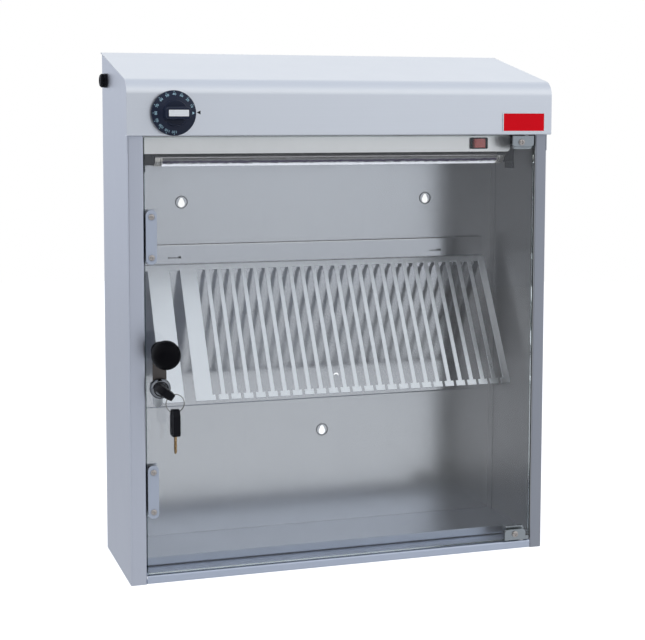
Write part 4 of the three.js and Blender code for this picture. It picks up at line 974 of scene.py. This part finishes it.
def make_switch():
    low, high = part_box("rocker_housing")
    centre = middle("rocker_housing")
    bezel = 2 * MM
    housing = slab("switch_frame", low, (high.x, low.y + bezel, high.z))
    round_corners(housing, 1, 1.4, 5)
    round_edges(housing, lies_at(y=low.y), 0.7, 3)
    fuse(housing, block("body", centre, 9.7 * MM, 6.2 * MM, low.y + bezel / 2, high.y))
    carve(housing, block("well", centre, 8.5 * MM, 5.6 * MM, low.y - MM, low.y + 12 * MM))
    soften(housing, 0.2)
    present(housing, BLACK_MOULDING, "rocker_housing")
    redress("rocker_button", RED_ROCKER, 0.5, 3)


# Lamp and what carries it

def make_lamp():
    length = extent("lamp_tube").x
    wall = [(12.2, 0), (12.6, 0), (13, 0.4), (13, length - 0.4), (12.6, length), (12.2, length), (12.2, 0)]
    tube = turned("glass_tube", wall, foot("lamp_tube", TOWARDS_RIGHT), TOWARDS_RIGHT, 72, through=True)
    shade(tube)
    present(tube, QUARTZ, "lamp_tube")
    for word, side, turn in (("left", -1, TOWARDS_LEFT), ("right", 1, TOWARDS_RIGHT)):
        make_cap(word, side, turn)
        redress("lampholder_" + word, HOLDER_MOULDING, 0.7, 3)


def make_cap(word, side, turn):
    """A pressed cap crimped to the tube, with its insulating disc and two pins."""
    node = "lamp_cap_" + word
    inner = foot(node, turn)
    pin_length, pin_start, pin_offset = 12, 5, 6.35
    rings = [(12.2, 0), (13, 0.5), (13, 2.0), (12.5, 2.5), (13, 3.0), (13, 8.6), (12.6, 9.5), (11.6, 10)]
    rings += [(9.2, 10), (9.0, 9.6), (8.6, 9.6)]
    cap = turned("crimped_cap_" + word, rings, inner, turn, 64)
    for way in (-1, 1):
        pin_rings = [(1.15, 0), (1.15, pin_length - 0.5), (0.7, pin_length)]
        pin_root = inner + Vector((side * pin_start, way * pin_offset, 0)) * MM
        fuse(cap, turned("pin", pin_rings, pin_root, turn, 24))
    soften(cap, 0.12)
    present(cap, CAP_METAL, node)


def make_electrics():
    """The parts that stand on the ceiling panel inside the hood."""
    redress("ballast", BALLAST_ENAMEL, 0.8, 3)
    redress("starter_socket", WHITE_MOULDING, 0.6, 3)
    redress("terminal_block", WHITE_MOULDING, 0.6, 3)
    length = extent("starter").z
    rings = [(9.6, 0), (10.4, 0.8), (10.75, 1.4), (10.75, length - 3.2), (10.2, length - 1.2), (8.6, length)]
    rings += [(3, length)]
    can = turned("starter_can", rings, foot("starter", UPRIGHT), UPRIGHT, 48)
    soften(can, 0.2)
    present(can, WHITE_MOULDING, "starter")


# Glass door with its pivots and clamps

KNOB_BORE = 2.5
LOCK_BORE = 7.0
CATCH_BORE = 1.8


def make_pane():
    low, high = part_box("door_glass")
    boss_half, boss_gap, boss = 2.3, 0.6, 4.9
    pane = slab("glass_pane", low, high)
    round_corners(pane, 1, 1.5, 6)
    for word, edge in (("upper", high.z), ("lower", low.z)):
        pin = middle(word + "_hinge_pin")
        inward = -boss * MM if edge == high.z else boss * MM
        spans = sorted((edge - inward, edge + inward))
        left = pin.x - (boss_half + boss_gap) * MM
        carve(pane, slab("notch", (left, low.y - MM, spans[0]), (high.x + MM, high.y + MM, spans[1])))
        drill(pane, middle(word + "_clamp_screw"), 3.0)
        for k in (1, 2):
            drill(pane, middle(f"{word}_magnet_screw_{k}"), CATCH_BORE)
    drill(pane, middle("knob_screw"), KNOB_BORE)
    drill(pane, middle("lock_barrel"), LOCK_BORE)
    soften(pane, 0.5, 1)
    present(pane, PANE, "door_glass")


def make_clamp(word, level):
    """Two plates joined over the glass edge by the boss that holds the pivot pin."""
    node = word + "_hinge_clamp"
    low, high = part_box(node)
    plate, inset, boss, boss_half = 3 * MM, 4 * MM, 4.6 * MM, 2.6 * MM
    front_height, rear_height, shift = 13 * MM, 16 * MM, (0 if level > 0 else 4 * MM)
    edge = high.z if level > 0 else low.z
    pin = middle(word + "_hinge_pin")

    def span(height):
        return sorted((edge, edge - level * height))

    right = high.x - shift
    front_z = span(front_height)
    front = slab("clamp_front_" + word, (low.x, low.y, front_z[0]), (right, low.y + plate, front_z[1]))
    far = edge - level * front_height
    round_edges(front, lambda a, b: along(1)(a, b) and abs(a.z - far) < 1e-6, 4.2, 10)
    round_edges(front, lies_at(y=low.y), 0.6, 3)
    rear_z = span(rear_height)
    rear = slab("rear", (low.x + inset, high.y - plate, rear_z[0]), (right, high.y, rear_z[1]))
    rear_far = edge - level * rear_height
    round_edges(rear, lambda a, b: along(1)(a, b) and abs(a.z - rear_far) < 1e-6, 2.5, 8)
    boss_z = span(boss)
    gap = 0.3 * MM
    bridge = slab("boss", (pin.x - boss_half, low.y + gap, boss_z[0]), (high.x, high.y - gap, boss_z[1]))
    fuse(front, rear, bridge)
    drill(front, (pin.x, pin.y, edge), 1.9, UPRIGHT, 12, 32)
    drill(front, middle(word + "_clamp_screw"), 2.7)
    soften(front, 0.25)
    present(front, CLAMP_METAL, node)


def make_screw(node, name, shank, head, rise, recess, finish):
    """A domed screw with a cross recess, its head towards the front."""
    low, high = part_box(node)
    centre = middle(node)
    seat = low.y + rise * MM
    length = (high.y - seat) / MM
    dome_shares = ((1, 0.3), (0.93, 0.6), (0.6, 0.93), (0.12, 1))
    dome = curved([(head * across, rise * up) for across, up in dome_shares], 4)
    rings = [(shank * 0.7, -length), (shank, -length + 0.6), (shank, 0), (head * 0.96, 0)]
    rings += [tuple(ring) for ring in dome]
    screw = turned(name, rings, Vector((centre.x, seat, centre.z)), sides=40)
    arm, thin, deep = recess * MM, recess * 0.26 * MM, 1.1 * MM
    for half_x, half_z in ((arm, thin), (thin, arm)):
        carve(screw, block("recess", centre, half_x, half_z, low.y - MM, low.y + deep))
    soften(screw, 0.08)
    present(screw, finish, node)


def make_pivot(word, level):
    """A pivot pin with chamfered ends, and its flanged bush."""
    node = word + "_hinge_pin"
    length = extent(node).z
    rings = [(1.2, 0), (1.6, 0.5), (1.6, length - 0.5), (1.2, length)]
    pin = turned("pivot_pin_" + word, rings, foot(node, UPRIGHT), UPRIGHT, 32)
    shade(pin)
    present(pin, BRIGHT_METAL, node)
    start = foot(node, UPRIGHT)
    node = word + "_hinge_bush"
    length = extent(node).z
    wall = [(1.9, 0), (4, 0), (4, 0.7), (2.5, 0.7), (2.5, length), (1.9, length), (1.9, 0)]
    start.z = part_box(node)[0 if level > 0 else 1].z
    turn = UPRIGHT if level > 0 else (math.pi, 0, 0)
    bush = turned("flanged_bush_" + word, wall, start, turn, 40, through=True)
    soften(bush, 0.1)
    present(bush, WHITE_MOULDING, node)


def make_magnet_catch(word):
    low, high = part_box(word + "_magnet_plate")
    plate = slab("catch_plate_" + word, low, high)
    round_corners(plate, 1, (high.x - low.x) / MM / 2 - 0.2, 20)
    for k in (1, 2):
        drill(plate, middle(f"{word}_magnet_screw_{k}"), CATCH_BORE)
    soften(plate, 0.35, 3)
    present(plate, LILAC_COAT, word + "_magnet_plate")
    for k in (1, 2):
        node = f"{word}_magnet_screw_{k}"
        make_screw(node, f"catch_screw_{word}_{k}", 1.5, 3.4, 2.0, 1.5, SCREW_METAL)
    redress(word + "_door_magnet", FERRITE, 0.4)


# Knob, lock and keys

def make_knob():
    profile = [(9.9, 0), (10.5, 2.5), (10.5, 7), (9.8, 11), (9.5, 15), (11.2, 20.5), (14.0, 26), (15.8, 31)]
    profile += [(16.2, 36), (15.2, 42), (11.8, 47), (6.6, 49.6), (0.8, 50)]
    start = foot("door_knob")
    knob = turned("turned_knob", curved(profile), start, sides=96)
    drill(knob, start, KNOB_BORE, TOWARDS_FRONT, 24, 32)
    shade(knob, 50)
    present(knob, KNOB_MOULDING, "door_knob")

    low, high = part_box("escutcheon_plate")
    plate = slab("handle_plate", low, high)
    round_corners(plate, 1, (high.x - low.x) / MM / 2 - 0.2, 24)
    drill(plate, middle("door_knob"), KNOB_BORE)
    drill(plate, middle("lock_barrel"), LOCK_BORE, sides=64)
    soften(plate, 0.3)
    present(plate, BRONZE_COAT, "escutcheon_plate")

    start = foot("knob_screw")
    length = extent("knob_screw").y
    rings = [(3.4, 0), (4.5, 0.5), (4.5, 1.7), (4.1, 2.2), (2.2, 2.2), (2.2, length - 0.6), (1.6, length)]
    screw = turned("knob_fixing", rings, start, sides=40)
    carve(screw, block("slot", start, 5 * MM, 0.45 * MM, start.y - 0.9 * MM, start.y + MM))
    soften(screw, 0.1)
    present(screw, BRIGHT_METAL, "knob_screw")


def make_lock():
    """The barrel with its round flange and dished front, its nut, and the plug with the keyway."""
    seat = extent("lock_barrel").y - 8
    flange = [(11.5, 0), (11.8, 0.4), (11.8, 4.2), (11.3, 6.0), (10.3, 7.4), (9.2, 8), (8.3, 8)]
    flange += [(7.9, 7.6), (7.6, 6.4), (5.1, 6.4)]
    rings = [(5.1, 0), (6.7, 0), (6.7, seat), *((radius, seat + rise) for radius, rise in flange), (5.1, 0)]
    barrel = turned("lock_housing", rings, foot("lock_barrel"), sides=96, through=True)
    soften(barrel, 0.2)
    present(barrel, LOCK_CHROME, "lock_barrel")
    redress("lock_nut", BRIGHT_METAL, 0.5)
    redress("lock_plug", LOCK_CHROME, 0.2)


KEY_HEAD = (22, 30, 8)
SPARE_HEAD = (18, 30, 8)
KEY_TILT = math.radians(37)
KEY_NECK = 2
RING_SWING = math.radians(33)


def bow(name, size, top_corner, foot_corner):
    """A key's moulded head lying flat on the origin, each face swelling in two steps."""
    half = Vector(size) * MM / 2
    head = slab(name, -half, half)
    for side, corner in ((1, top_corner), (-1, foot_corner)):
        round_edges(head, lambda a, b: along(2)(a, b) and a.y * side > 0, corner, 12)
    for side in (-1, 1):
        pick_faces(head, lambda face: face.normal.z * side > 0.9)
        for inset, swell in ((2.0, 0.2), (2.4, 0.9)):
            bpy.ops.mesh.inset(thickness=inset * MM)
            bpy.ops.transform.translate(value=(0, 0, side * swell * MM))
        stop_editing()
    return soften(head, 0.9, 4, 16)


def ring_eye():
    """Where the ring passes through the key's bow."""
    out, aside = 24, 5.5
    centre = middle("lock_plug")
    centre.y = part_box("lock_plug")[0].y
    return centre + Vector((aside * math.cos(KEY_TILT), -KEY_NECK - out, -aside * math.sin(KEY_TILT))) * MM


def make_key():
    centre = middle("lock_plug")
    _, key_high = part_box("lock_key")
    head_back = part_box("lock_plug")[0].y - KEY_NECK * MM
    head = bow("key_bow", KEY_HEAD, 8.5, 10)
    head.rotation_euler = (0, KEY_TILT, 0)
    head.location = (centre.x, head_back - KEY_HEAD[1] / 2 * MM, centre.z)
    settle(head)
    drill(head, ring_eye(), 2.3, (0, math.pi / 2 - RING_SWING, 0), 30, 32)
    present(head, BLACK_MOULDING, "lock_key")
    half_width, half_thick = 3.7 * MM, 0.95 * MM
    shank = block("key_shank", Vector(), half_width, half_thick, head_back - MM, key_high.y)
    shank.rotation_euler = (0, KEY_TILT, 0)
    shank.location = (centre.x, 0, centre.z)
    settle(shank)
    soften(shank, 0.2)
    attach(shank, KEY_BRASS, "lock_key")


def make_spare_key():
    """The second key: its head, and a flat blade with cuts along one edge."""
    centre = middle("spare_key_head")
    head = bow("spare_key_bow", SPARE_HEAD, 8.5, 3.5)
    head.rotation_euler = (math.pi / 2, 0, math.pi / 2)
    head.location = centre
    settle(head)
    eye = ring_centre() - Vector((0, 0, RING_RADIUS * MM))
    drill(head, eye, 2.3, TOWARDS_RIGHT, 20, 32)
    present(head, BLACK_MOULDING, "spare_key_head")
    low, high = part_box("spare_key_blade")
    blade = dressed("spare_key_blade", 0.15)
    for share, depth in ((0.18, 1.4), (0.34, 2.1), (0.5, 1.1), (0.66, 1.8)):
        tooth = slab("cut", (low.x - MM, -MM, -MM), (high.x + MM, MM, MM))
        tooth.rotation_euler = (math.pi / 4, 0, 0)
        tooth.location = (0, low.y - math.sqrt(2) * MM + depth * MM, high.z + (low.z - high.z) * share)
        settle(tooth)
        carve(blade, tooth)
    shade(blade)
    present(blade, KEY_BRASS, "spare_key_blade")


RING_RADIUS = 10.3


def ring_centre():
    swing = Vector((math.sin(RING_SWING), 0, -math.cos(RING_SWING)))
    return ring_eye() + swing * RING_RADIUS * MM


def make_ring():
    """A split ring: two close turns of wire."""
    wire, pitch, turns = 0.45, 0.9, 1.92
    deselect()
    start = (RING_RADIUS * MM, 0, 0)
    bpy.ops.mesh.primitive_circle_add(
        vertices=12, radius=wire * MM, fill_type="NOTHING", location=start, rotation=TOWARDS_FRONT
    )
    ring = bpy.context.object
    ring.name = "split_ring"
    settle(ring)
    rise, steps = pitch * turns * MM, 150
    coil = {"angle": 2 * math.pi * turns, "screw_offset": rise, "steps": steps, "render_steps": steps}
    apply_modifier(ring, "SCREW", axis="Z", **coil)
    edit_all(ring)
    bpy.ops.mesh.fill_holes(sides=0)
    stop_editing()
    outward(ring)
    ring.rotation_euler = (math.pi / 2, math.radians(60), 0)
    ring.location = ring_centre() + Vector((0, pitch * turns / 2 * MM, 0))
    settle(ring)
    shade(ring, 50)
    present(ring, RING_STEEL, "key_ring")


add_camera()
add_room()
make_hood()
make_folded_parts()
make_hole_rims()
make_badge()
make_gland()
make_timer()
make_dial()
make_insert()
make_dial_print()
make_switch()
make_lamp()
make_electrics()
make_pane()
for word, level in (("upper", 1), ("lower", -1)):
    make_clamp(word, level)
    make_pivot(word, level)
    make_screw(word + "_clamp_screw", "clamp_fixing_" + word, 2.4, 3.9, 1.9, 2.1, SCREW_METAL)
    make_magnet_catch(word)
make_knob()
make_lock()
make_key()
make_ring()
make_spare_key()

bpy.context.scene.view_settings.view_transform = "Standard"
